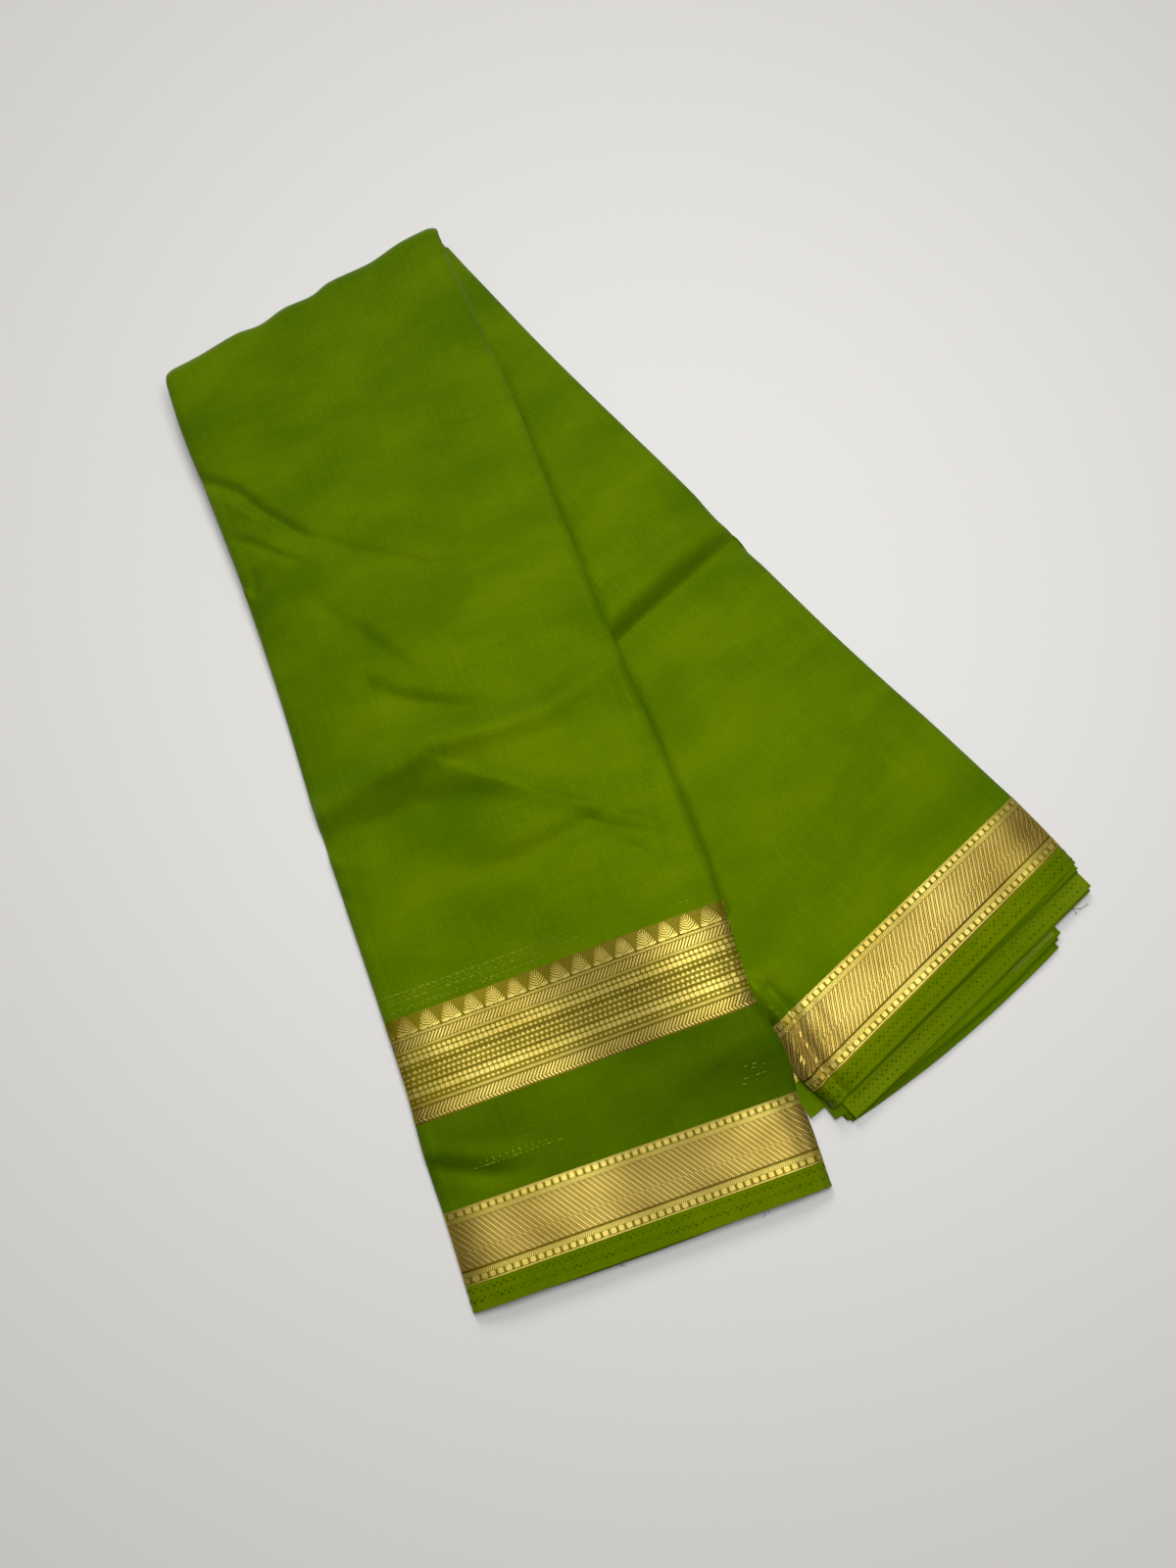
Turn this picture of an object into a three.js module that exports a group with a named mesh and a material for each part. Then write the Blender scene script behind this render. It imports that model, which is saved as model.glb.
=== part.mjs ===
// A saree folded into a long flat bundle, bent over once at its middle and laid on a table.
// Units are millimetres and +Z is up. The table is z = 0, and the plan is the view from above.
// Each half of the bundle is a leg: the lower leg lies on the table, the upper leg lies over it.
import * as THREE from 'three';

// Cloth
const WALL = 1.2;
const SEAM = 0.3;
const LAYER = 1.3;

// The bend that joins the legs
const BEND_RADIUS = 10;
const BEND_BLEND = 70;
const WRAP_ANGLES = [23, 46, 69, 92, 115, 138, 158];
const TUCK_ANGLES = [161, 166, 176];
const SLOT_HEIGHT = 8.9;
const SLOT_RADIUS = 0.9;

// How the visible wall turns down at its side edges
const CURL_WIDTH = 5;
const CURL_DROP = 3.2;
const CURL_STEPS = 2;

// The grid of every wall: columns run across a leg, rows run along it. A row's direction is
// measured from places one step before and after it.
const FLAT_STEPS = 12;
const ROW_STEP = 1;
const HALF_WIDTH = 89;

// Where the upper leg comes down off the lower leg's edge onto the table
const DRAPE_START = -8;
const DRAPE_END = -44;
const SUPPORT_END = 486;
const TABLE_START = 526;

// Where the hidden layers stop and the fanned end layers begin, at a row of the wall above
const LOWER_FAN = 500.8;
const UPPER_FAN = 534.1;

// A leg's station is the distance from the middle of the bend's edge. Its columns left and right
// are the side edges, thick is the bundle's thickness, and skew turns a row across the leg.
const UPPER_ANGLE = -69.05;
const UPPER_LEG = [
  { station: 10, left: -88.9, right: 90, thick: 10.2, skew: -0.21 },
  { station: 58, left: -90.4, right: 92.6, thick: 9.8, skew: -0.1 },
  { station: 105, left: -88.3, right: 94.4, thick: 9.3, skew: -0.03 },
  { station: 165, left: -86.4, right: 94.3, thick: 9, skew: 0 },
  { station: 230, left: -86.9, right: 94.4, thick: 8.8, skew: 0 },
  { station: 290, left: -88.8, right: 95.2, thick: 8.6, skew: 0.01 },
  { station: 345, left: -89, right: 96.4, thick: 8.4, skew: 0.015 },
  { station: 410, left: -88.9, right: 95.3, thick: 8.2, skew: 0.02 },
  { station: 450, left: -89.2, right: 91.8, thick: 8, skew: 0.025 },
  { station: 480, left: -91.3, right: 91, thick: 7.6, skew: 0.032 },
  { station: 520, left: -91.2, right: 93.3, thick: 6.8, skew: 0.045 },
  { station: 565, left: -92.6, right: 92.9, thick: 6.4, skew: 0.045 },
];
const LOWER_ANGLE = -47.98;
const LOWER_LEG = [
  { station: 10, left: -89, right: 91.4, thick: 9.5, skew: 0.161 },
  { station: 55, left: -89, right: 90.3, thick: 9.3, skew: 0.08 },
  { station: 110, left: -89, right: 88.6, thick: 9.1, skew: 0.03 },
  { station: 190, left: -89, right: 88.8, thick: 8.9, skew: 0 },
  { station: 245, left: -89, right: 89, thick: 8.9, skew: 0 },
  { station: 266, left: -89, right: 87.2, thick: 8.9, skew: 0 },
  { station: 280, left: -89, right: 89.8, thick: 8.9, skew: 0 },
  { station: 296, left: -89, right: 87.8, thick: 8.9, skew: 0 },
  { station: 366, left: -88, right: 88, thick: 9, skew: 0 },
  { station: 436, left: -87, right: 91.3, thick: 8.8, skew: 0 },
  { station: 486, left: -84.5, right: 93, thick: 8.4, skew: -0.005 },
  { station: 508, left: -92.1, right: 92.8, thick: 8.2, skew: -0.015 },
  { station: 536, left: -90.8, right: 91.9, thick: 8, skew: -0.015 },
];

// The bend's edge seen from above, in the upper leg's station, with its soft scallops
const BEND_LINE = { station: 1, skew: -0.21 };
const SCALLOPS = [
  { across: -90, out: 1 },
  { across: -69, out: 0.4 },
  { across: -43, out: 1.7 },
  { across: -28, out: -0.6 },
  { across: -12, out: 1.8 },
  { across: 6, out: 0.3 },
  { across: 18, out: 2.9 },
  { across: 45, out: 1.4 },
  { across: 66, out: 4.1 },
  { across: 88, out: 3.5 },
];

// The first rows of the walls, on top of the bend and in the slot inside it
const UPPER_START = BEND_RADIUS + BEND_LINE.station;
const LOWER_START = BEND_RADIUS + 1;

// Where each stretch of the visible wall ends, at the leg's middle
const UPPER_STRETCHES = [
  { name: 'upper_field', end: 417.3, rows: 18, gold: false },
  { name: 'upper_wide_border', end: 471.2, rows: 3, gold: true },
  { name: 'upper_gap', end: 516.5, rows: 2, gold: false },
  { name: 'upper_narrow_border', end: 551.5, rows: 2, gold: true },
  { name: 'upper_selvedge', end: 564.5, rows: 1, gold: false },
];
const LOWER_STRETCHES = [
  { name: 'lower_field', end: 488.6, rows: 21, gold: false },
  { name: 'lower_narrow_border', end: 525, rows: 3, gold: true },
  { name: 'lower_selvedge', end: 536.4, rows: 1, gold: false },
];

// Largest folds. Each runs from one spot to another, and rises above the cloth or sinks below it.
const UPPER_FOLDS = [
  { s0: 118, t0: -86, s1: 146, t1: -46, width: 13, rise: -1.6 }, // corner trough
  { s0: 126, t0: -60, s1: 136, t1: -36, width: 12, rise: 1 }, // corner ridge
  { s0: 150, t0: -72, s1: 172, t1: -36, width: 12, rise: -1.3 }, // corner valley
  { s0: 305, t0: -82, s1: 298, t1: -12, width: 15, rise: -1.8 }, // long valley
  { s0: 288, t0: -62, s1: 290, t1: -22, width: 13, rise: 1.2 }, // long ridge
  { s0: 306, t0: 2, s1: 336, t1: 34, width: 13, rise: 0.9 }, // middle ridge
];
const LOWER_FOLDS = [
  { s0: 281, t0: -30, s1: 277.5, t1: 96, width: 10, rise: -3.2 }, // cross trough
  { s0: 261, t0: 14, s1: 259, t1: 92, width: 10, rise: 1.2 }, // near ridge
  { s0: 299, t0: 14, s1: 296, t1: 92, width: 10, rise: 1.1 }, // far ridge
  { s0: 492, t0: -88, s1: 534, t1: -86, width: 11, rise: 3.4 }, // rolled edge
  { s0: 486, t0: -68, s1: 532, t1: -70, width: 9, rise: -1.2 }, // roll valley
];

// Layers that show past the hems. Hems are stations at the left, middle and right, and each layer
// has a row at every share of the way to its hem.
const LAYER_ROWS = [0, 0.55, 1];
const LOWER_LAYERS = [
  { name: 'lower_end_layer_1', hems: [539, 538.6, 539.3], left: -87.6, right: 88.9 },
  { name: 'lower_end_layer_2', hems: [548.8, 549.4, 548.6], left: -86.5, right: 88.4 },
  { name: 'lower_end_layer_3', hems: [545.5, 556, 554.6], left: -92.5, right: 59.1 },
  { name: 'lower_end_layer_4', hems: [549.7, 558.5, 559.8], left: -88.6, right: 53.1 },
];
const UPPER_LAYERS = [
  { name: 'upper_end_layer_1', hems: [558.5, 563, 567], left: -89, right: 88 },
  { name: 'upper_end_layer_2', hems: [559, 565.2, 566.4], left: -89.6, right: 89.2 },
  { name: 'upper_end_layer_3', hems: [556.5, 565, 565.4], left: -90, right: 88.2 },
];

// Hidden layers: how far each rounded group of folds stands back from the leg's side edge
const EDGE_GROUPS = [3.3, 2.6, 3.1, 2.3];
const EDGE_NOTCH = 1.3;

const GREEN = { color: 0x4f7a08, roughness: 0.62, metalness: 0 };
const GOLD = { color: 0xc2a64a, roughness: 0.36, metalness: 0.55 };

const { clamp, degToRad, lerp, smoothstep } = THREE.MathUtils;

/** Reads a column of a table at a place between its rows, on a smooth curve. */
function read(table, key, column, place) {
  const last = table.length - 1;
  const x = clamp(place, table[0][key], table[last][key]);
  let i = 0;
  while (i < last - 1 && table[i + 1][key] < x) i += 1;
  const slope = (k) => {
    const before = table[Math.max(k - 1, 0)];
    const after = table[Math.min(k + 1, last)];
    return (after[column] - before[column]) / (after[key] - before[key]);
  };
  const span = table[i + 1][key] - table[i][key];
  const p = (x - table[i][key]) / span;
  const q = 1 - p;
  const ends = table[i][column] * q * q * (1 + 2 * p) + table[i + 1][column] * p * p * (1 + 2 * q);
  return ends + span * p * q * (slope(i) * q - slope(i + 1) * p);
}

/** A leg: its direction in plan, and the table of its sections. */
function makeLeg(degrees, sections, folds) {
  const angle = degToRad(degrees);
  const axis = new THREE.Vector2(Math.cos(angle), Math.sin(angle));
  const side = new THREE.Vector2(-axis.y, axis.x);
  return { axis, side, sections, folds };
}

const upperLeg = makeLeg(UPPER_ANGLE, UPPER_LEG, UPPER_FOLDS);
const lowerLeg = makeLeg(LOWER_ANGLE, LOWER_LEG, LOWER_FOLDS);

/** The plan position of a spot on a leg. */
function planOf(leg, s, t) {
  return leg.axis.clone().multiplyScalar(s).addScaledVector(leg.side, t);
}

/** How much the folds of a leg lift or lower its top at a spot. */
function foldRise(leg, s, t) {
  let rise = 0;
  for (const fold of leg.folds) {
    const ds = fold.s1 - fold.s0;
    const dt = fold.t1 - fold.t0;
    const reach = ((s - fold.s0) * ds + (t - fold.t0) * dt) / (ds * ds + dt * dt);
    const k = clamp(reach, 0, 1);
    const distance = Math.hypot(s - fold.s0 - k * ds, t - fold.t0 - k * dt);
    rise += fold.rise * Math.exp(-((distance / fold.width) ** 2));
  }
  return rise;
}

/** The scallops move the first rows outwards, and die away along the leg. */
function scallop(station, t) {
  const fade = 1 - smoothstep(station, BEND_RADIUS, BEND_RADIUS + BEND_BLEND);
  return -read(SCALLOPS, 'across', 'out', t) * fade;
}

/** Height of the plain top of the lower leg. */
function lowerPlain(s) {
  return read(LOWER_LEG, 'station', 'thick', s);
}

/** Height of the surface that carries the upper leg: the lower leg, the drape, or the table. */
function support(s, t) {
  const plan = planOf(upperLeg, s, t);
  const lowerS = plan.dot(lowerLeg.axis);
  const lowerT = plan.dot(lowerLeg.side);
  const inside = lowerT - read(LOWER_LEG, 'station', 'left', Math.min(lowerS, SUPPORT_END));
  const drape = smoothstep(inside, DRAPE_END, DRAPE_START);
  const held = 1 - smoothstep(s, SUPPORT_END, TABLE_START);
  return (lowerPlain(lowerS) + SEAM) * drape * held;
}

/** Height of the top of the upper leg. Close to the bend it meets the top of the bend. */
function upperTop(s, t) {
  const distance = s - BEND_LINE.station - BEND_LINE.skew * t - BEND_RADIUS;
  const blend = smoothstep(distance, 0, BEND_BLEND);
  const thick = read(UPPER_LEG, 'station', 'thick', s);
  return lerp(2 * BEND_RADIUS, support(s, t) + thick, blend) + foldRise(upperLeg, s, t);
}

function lowerTop(s, t) {
  return lowerPlain(s) + foldRise(lowerLeg, s, t);
}

/** The columns across a leg: the turned down side edges, and the flat between them. */
function makeColumns() {
  const turn = [];
  for (let k = 0; k < CURL_STEPS; k += 1) {
    const angle = (1 - k / CURL_STEPS) * Math.PI / 2;
    const inset = CURL_WIDTH * (1 - Math.sin(angle));
    turn.push({ inset, drop: CURL_DROP * (1 - Math.cos(angle)) });
  }
  const left = turn.map((edge) => ({ share: 0, inset: edge.inset, drop: edge.drop }));
  const right = turn.map((edge) => ({ share: 1, inset: -edge.inset, drop: edge.drop })).reverse();
  const flat = [];
  for (let k = 0; k <= FLAT_STEPS; k += 1) {
    const share = k / FLAT_STEPS;
    flat.push({ share, inset: CURL_WIDTH * (1 - 2 * share), drop: 0 });
  }
  return { all: [...left, ...flat, ...right], flat };
}

const COLUMNS = makeColumns();

/** The spot of a column in the row at a station: distance along the leg and across it. */
function spot(leg, station, column) {
  const skew = read(leg.sections, 'station', 'skew', station);
  const left = read(leg.sections, 'station', 'left', station - skew * HALF_WIDTH);
  const right = read(leg.sections, 'station', 'right', station + skew * HALF_WIDTH);
  const t = lerp(left, right, column.share) + column.inset;
  const wave = leg === upperLeg ? scallop(station, t) : 0;
  return { s: station + skew * t + wave, t };
}

/** A point on the outside of the visible wall of a leg. */
function topPoint(leg, station, column) {
  const { s, t } = spot(leg, station, column);
  const plan = planOf(leg, s, t);
  const height = leg === upperLeg ? upperTop(s, t) : lowerTop(s, t);
  return new THREE.Vector3(plan.x, plan.y, height - column.drop);
}

/** A point on the bend. The angle is 0 degrees on top and 180 degrees on the table. */
function bendPoint(degrees, column, radius, height) {
  const { s, t } = spot(upperLeg, BEND_RADIUS + BEND_LINE.station, column);
  const edge = planOf(upperLeg, s - BEND_RADIUS, t);
  const inwards = upperLeg.axis.clone().lerp(lowerLeg.axis, degrees / 180);
  const angle = degToRad(degrees);
  edge.addScaledVector(inwards, BEND_RADIUS - radius * Math.sin(angle));
  return new THREE.Vector3(edge.x, edge.y, height + radius * Math.cos(angle));
}

/** Stations of the rows of a stretch, evenly spaced. */
function stations(start, end, count) {
  return Array.from({ length: count + 1 }, (_, k) => lerp(start, end, k / count));
}

/**
 * A row of the visible wall: its points, and the outward direction at each. The function gives the
 * point of a column at a place, which is a station on a leg or an angle on the bend.
 */
function makeRow(pointAt, place) {
  const points = COLUMNS.all.map((column) => pointAt(place, column));
  const normals = COLUMNS.all.map((column, j) => {
    const along = pointAt(place + ROW_STEP, column).sub(pointAt(place - ROW_STEP, column));
    const next = points[Math.min(j + 1, points.length - 1)];
    const across = next.clone().sub(points[Math.max(j - 1, 0)]);
    return along.cross(across).normalize();
  });
  return { points, normals };
}

function legRow(leg, place) {
  return makeRow((station, column) => topPoint(leg, station, column), place);
}

function bendRow(degrees) {
  const pointAt = (back, column) => (
    bendPoint(-back, column, BEND_RADIUS - column.drop, BEND_RADIUS));
  return makeRow(pointAt, -degrees);
}

/** The points of a row moved inwards. */
function below(row, depth) {
  return row.points.map((point, j) => point.clone().addScaledVector(row.normals[j], -depth));
}

/** A closed solid between two grids of the same shape, with a rim all round. */
function solidBetween(outer, inner) {
  const rows = outer.length;
  const columns = outer[0].length;
  const points = [...outer.flat(), ...inner.flat()];
  const faces = [];
  const back = rows * columns;
  const quad = (a, b, c, d) => faces.push(a, b, c, a, c, d);
  for (let i = 0; i < rows - 1; i += 1) {
    for (let j = 0; j < columns - 1; j += 1) {
      const a = i * columns + j;
      quad(a, a + columns, a + columns + 1, a + 1);
      quad(back + a, back + a + 1, back + a + columns + 1, back + a + columns);
    }
  }
  for (let i = 0; i < rows - 1; i += 1) {
    const a = i * columns;
    const b = a + columns - 1;
    quad(a, back + a, back + a + columns, a + columns);
    quad(b, b + columns, back + b + columns, back + b);
  }
  for (let j = 0; j < columns - 1; j += 1) {
    const a = j;
    const b = (rows - 1) * columns + j;
    quad(a, a + 1, back + a + 1, back + a);
    quad(b, back + b, back + b + 1, b + 1);
  }
  return geometryOf(points, faces);
}

function geometryOf(points, faces) {
  const geometry = new THREE.BufferGeometry();
  geometry.setFromPoints(points);
  geometry.setIndex(faces);
  geometry.computeVertexNormals();
  return geometry;
}

/** A wall of cloth whose outside is given by rows. */
function wall(rows) {
  return solidBetween(rows.map((row) => row.points), rows.map((row) => below(row, WALL)));
}

/** One layer at a leg's end, flat, from where the hidden layers stop to its own hem. */
function endLayer(leg, layer, start, base) {
  const [hemLeft, hemMiddle, hemRight] = layer.hems;
  const skew = read(leg.sections, 'station', 'skew', start);
  const outer = [];
  for (const reach of LAYER_ROWS) {
    const row = [];
    for (let k = 0; k <= FLAT_STEPS / 2; k += 1) {
      const share = 2 * k / FLAT_STEPS;
      const curve = hemMiddle - (hemLeft + hemRight) / 2;
      const hem = lerp(hemLeft, hemRight, share) + 4 * curve * share * (1 - share);
      const t = lerp(layer.left, layer.right, share);
      const plan = planOf(leg, lerp(start + skew * t, hem, reach), t);
      row.push(new THREE.Vector3(plan.x, plan.y, base + LAYER));
    }
    outer.push(row);
  }
  const lowered = outer.map((row) => row.map((p) => p.clone().setZ(base)));
  return solidBetween(outer, lowered);
}

/** The ring of the hidden layers in one section, from its outside line and its inside line. */
function layerRing(outside, inside, acrossAxis) {
  const groups = EDGE_GROUPS.length;
  const side = (outerEnd, innerEnd, outwards) => {
    const points = [];
    for (let k = 1; k < 2 * groups; k += 1) {
      const crest = k % 2 === 1;
      const group = Math.min(Math.floor(k / 2), groups - 1);
      const inset = EDGE_GROUPS[group] + (crest ? 0 : EDGE_NOTCH);
      const point = outerEnd.clone().lerp(innerEnd, k / (2 * groups));
      const shift = outwards * (CURL_WIDTH - inset);
      point.x += acrossAxis.x * shift;
      point.y += acrossAxis.y * shift;
      points.push(point);
    }
    return points;
  };
  const last = outside.length - 1;
  const rightSide = side(outside[last], inside[last], 1);
  const leftSide = side(outside[0], inside[0], -1).reverse();
  return [...outside, ...rightSide, ...[...inside].reverse(), ...leftSide];
}

/** Joins a list of rings of equal length into a closed solid with flat ends. */
function loft(rings) {
  const size = rings[0].length;
  const faces = [];
  for (let i = 0; i < rings.length - 1; i += 1) {
    for (let j = 0; j < size; j += 1) {
      const next = (j + 1) % size;
      const a = i * size;
      const b = a + size;
      faces.push(a + j, b + next, a + next, a + j, b + j, b + next);
    }
  }
  const sideCount = size / 2 - FLAT_STEPS - 1;
  const cap = (start, flip) => {
    const face = (a, b, c) => (flip ? faces.push(a, c, b) : faces.push(a, b, c));
    const outside = (k) => start + k;
    const inside = (k) => start + size - 1 - sideCount - k;
    for (let k = 0; k < FLAT_STEPS; k += 1) {
      face(outside(k), inside(k), outside(k + 1));
      face(outside(k + 1), inside(k), inside(k + 1));
    }
    for (let k = 0; k < sideCount; k += 1) {
      face(outside(FLAT_STEPS + k), inside(FLAT_STEPS), outside(FLAT_STEPS + k + 1));
      face(outside(0), inside(-k - 1), inside(-k));
    }
  };
  cap(0, true);
  cap((rings.length - 1) * size, false);
  return geometryOf(rings.flat(), faces);
}

/** The points of a row's flat columns, moved inwards. */
function flatBelow(row, depth) {
  return below(row, depth).slice(CURL_STEPS, -CURL_STEPS);
}

function lowerRing(place) {
  const inside = flatBelow(legRow(lowerLeg, place), WALL + SEAM);
  const outside = inside.map((point) => point.clone().setZ(0));
  return layerRing(outside, inside, lowerLeg.side);
}

function upperRing(place) {
  const outside = flatBelow(legRow(upperLeg, place), WALL + SEAM);
  const inside = COLUMNS.flat.map((column) => {
    const { s, t } = spot(upperLeg, place, column);
    const plan = planOf(upperLeg, s, t);
    return new THREE.Vector3(plan.x, plan.y, support(s, t));
  });
  return layerRing(outside, inside, upperLeg.side);
}

/** A section through the bend. Below the wrapped wall the layers reach down to the table. */
function bendRing(degrees) {
  const cover = degrees <= TUCK_ANGLES[0] ? WALL + SEAM : 0;
  const outside = flatBelow(bendRow(degrees), cover);
  const inside = COLUMNS.flat.map((column) => (
    bendPoint(degrees, column, SLOT_RADIUS, SLOT_HEIGHT)));
  const across = lowerLeg.side.clone().lerp(upperLeg.side, 1 - degrees / 180);
  return layerRing(outside, inside, across);
}

/** Stations of a leg's rows, up to where its end layers begin. */
function layerStations(stretches, start, fan) {
  const places = [start];
  for (const stretch of stretches) {
    places.push(...stations(places[places.length - 1], stretch.end, stretch.rows).slice(1));
  }
  return places.filter((place) => place < fan);
}

/** All hidden layers in one piece: up the lower leg, round the bend and down the upper leg. */
function hiddenLayers() {
  const lower = layerStations(LOWER_STRETCHES, LOWER_START, LOWER_FAN).reverse();
  const upper = layerStations(UPPER_STRETCHES, UPPER_START, UPPER_FAN);
  const bend = [...WRAP_ANGLES, ...TUCK_ANGLES].reverse();
  return loft([...lower.map(lowerRing), ...bend.map(bendRing), ...upper.map(upperRing)]);
}

function makeMesh(name, geometry, look) {
  const mesh = new THREE.Mesh(geometry, new THREE.MeshStandardMaterial(look));
  mesh.name = name;
  return mesh;
}

/** The visible wall of a leg, one mesh for each stretch. */
function stretchMeshes(leg, stretches, start, firstRows) {
  let from = start;
  return stretches.map((stretch, index) => {
    const last = index === stretches.length - 1;
    const to = last ? stretch.end : stretch.end - SEAM / 2;
    const rows = stations(from, to, stretch.rows).map((place) => legRow(leg, place));
    const all = index === 0 ? [...firstRows, ...rows] : rows;
    from = stretch.end + SEAM / 2;
    return makeMesh(stretch.name, wall(all), stretch.gold ? GOLD : GREEN);
  });
}

/** The layers that fan out at a leg's end, the topmost first. */
function layerMeshes(leg, layers, start) {
  return layers.map((layer, index) => {
    const base = (layers.length - 1 - index) * (LAYER + SEAM);
    return makeMesh(layer.name, endLayer(leg, layer, start + SEAM, base), GREEN);
  });
}

const group = new THREE.Group();
group.name = 'saree';
const wrappedRows = [...WRAP_ANGLES].reverse().map(bendRow);
group.add(makeMesh('hidden_layers', hiddenLayers(), GREEN));
group.add(...stretchMeshes(upperLeg, UPPER_STRETCHES, UPPER_START, wrappedRows));
group.add(...stretchMeshes(lowerLeg, LOWER_STRETCHES, LOWER_START, []));
group.add(...layerMeshes(upperLeg, UPPER_LAYERS, UPPER_FAN));
group.add(...layerMeshes(lowerLeg, LOWER_LAYERS, LOWER_FAN));

// The origin is on the table, under the middle of the plan
const middle = new THREE.Box3().setFromObject(group).getCenter(new THREE.Vector3());
group.position.set(-middle.x, -middle.y, 0);

export default group;
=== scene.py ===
"""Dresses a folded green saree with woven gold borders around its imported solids.

The saree is one long cloth, folded into a flat bundle and bent over once at its middle. Each half
of the bundle is a leg: the lower leg lies on the table and the upper leg lies over it. A row across
a leg has a station, its distance from the middle of the bend, and a place in a row is a distance
along the cloth from the leg's middle line. Sizes in tables are millimetres, +Z is up and the table
is z = 0.
"""

import logging
import math
import sys
from collections.abc import Sequence
from dataclasses import dataclass, replace
from enum import Enum

import bpy
import numpy as np
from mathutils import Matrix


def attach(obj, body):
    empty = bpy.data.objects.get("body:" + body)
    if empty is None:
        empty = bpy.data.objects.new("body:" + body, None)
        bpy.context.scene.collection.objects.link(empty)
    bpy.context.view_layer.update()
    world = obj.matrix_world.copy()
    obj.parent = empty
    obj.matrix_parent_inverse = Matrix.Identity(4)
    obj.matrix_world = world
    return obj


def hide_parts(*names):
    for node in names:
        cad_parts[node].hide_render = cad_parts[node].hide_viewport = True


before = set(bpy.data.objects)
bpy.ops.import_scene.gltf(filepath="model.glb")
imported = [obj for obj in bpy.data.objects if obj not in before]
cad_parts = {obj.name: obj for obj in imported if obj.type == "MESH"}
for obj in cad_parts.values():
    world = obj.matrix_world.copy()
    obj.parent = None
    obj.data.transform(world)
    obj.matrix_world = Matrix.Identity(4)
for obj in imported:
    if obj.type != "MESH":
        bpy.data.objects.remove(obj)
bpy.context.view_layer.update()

Array = np.ndarray
Color = tuple[float, float, float]

MM = 0.001
BODY = "root"

# Where the middle of the bend's edge lies in the part's frame
BEND_PLACE = np.array([-178.732, 252.990])

# How the top layer turns down at the side edges, on a quarter of an ellipse and a little further
CURL_WIDTH = 7.5
CURL_DROP = 3.2
CURL_ARC = 8.8
CURL_LIMIT = 1.25

# Half a row's width, over which its skew is measured
HALF_WIDTH = 89.0

# How the top sinks a little towards its side edges, before it turns down
SHOULDER_WIDTH = 14.0
SHOULDER_DROP = 1.3

# The bend
BEND_RADIUS = 10.0
BEND_BLEND = 70.0
BEND_STATION = 1.0
BEND_SKEW = -0.21
BEND_START = BEND_RADIUS + BEND_STATION
SLOT_RADIUS = 0.9
SLOT_HEIGHT = 8.9
WRAP_DEGREES = 158.0

# Where the upper leg comes down off the lower leg onto the table: its layers, then its top
DRAPE_START = -8.0
DRAPE_END = -44.0
TOP_DRAPE_START = -3.0
TOP_DRAPE_END = -92.0
SUPPORT_END = 486.0
TABLE_START = 526.0
LAYER_GAP = 0.3

# The cloth's thickness, how deep the layers under it lie, and the lowest that its outside comes
CLOTH = 0.5
COVERED = 0.9
LOWEST = 0.9

# Rows, columns and turn points of a leaf at a leg's end
LEAF_ROWS = 14
LEAF_COLUMNS = 56
LEAF_TURN_POINTS = 5

logger = logging.getLogger("saree")


def smoothstep(x: Array, low: float, high: float) -> Array:
    """Rises smoothly from 0 at the low place to 1 at the high place.

    Args:
        x: Places.
        low: Where the step is 0.
        high: Where the step is 1.

    Returns:
        The step at each place.
    """
    p = np.clip((np.asarray(x, float) - low) / (high - low), 0, 1)
    return p * p * (3 - 2 * p)


def mix(a: Array, b: Array, share: Array) -> Array:
    """Blends from a to b by a share of 0 to 1."""
    return a + (b - a) * share


class Curve:
    """A smooth curve through the points of a table, level beyond its ends."""

    def __init__(self, places: Sequence[float], values: Sequence[float]) -> None:
        """Keeps the table's points and works out the slope at each.

        Args:
            places: The places of the points, rising.
            values: The curve's value at each place.
        """
        self.places = np.array(places, float)
        self.values = np.array(values, float)
        index = np.arange(len(places))
        after = np.minimum(index + 1, index[-1])
        before = np.maximum(index - 1, 0)
        rise = self.values[after] - self.values[before]
        self.slopes = rise / (self.places[after] - self.places[before])

    def at(self, place: Array) -> Array:
        """Reads the curve.

        Args:
            place: One place or many.

        Returns:
            The value at each place.
        """
        x = np.clip(place, self.places[0], self.places[-1])
        i = np.clip(np.searchsorted(self.places, x, side="right") - 1, 0, len(self.places) - 2)
        span = self.places[i + 1] - self.places[i]
        p = (x - self.places[i]) / span
        q = 1 - p
        ends = self.values[i] * q * q * (1 + 2 * p) + self.values[i + 1] * p * p * (1 + 2 * q)
        return ends + span * p * q * (self.slopes[i] * q - self.slopes[i + 1] * p)


@dataclass(frozen=True)
class Section:
    """A leg's section at a station: its side edges, its thickness, and the skew of its row."""

    station: float
    left: float
    right: float
    thick: float
    skew: float


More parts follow.
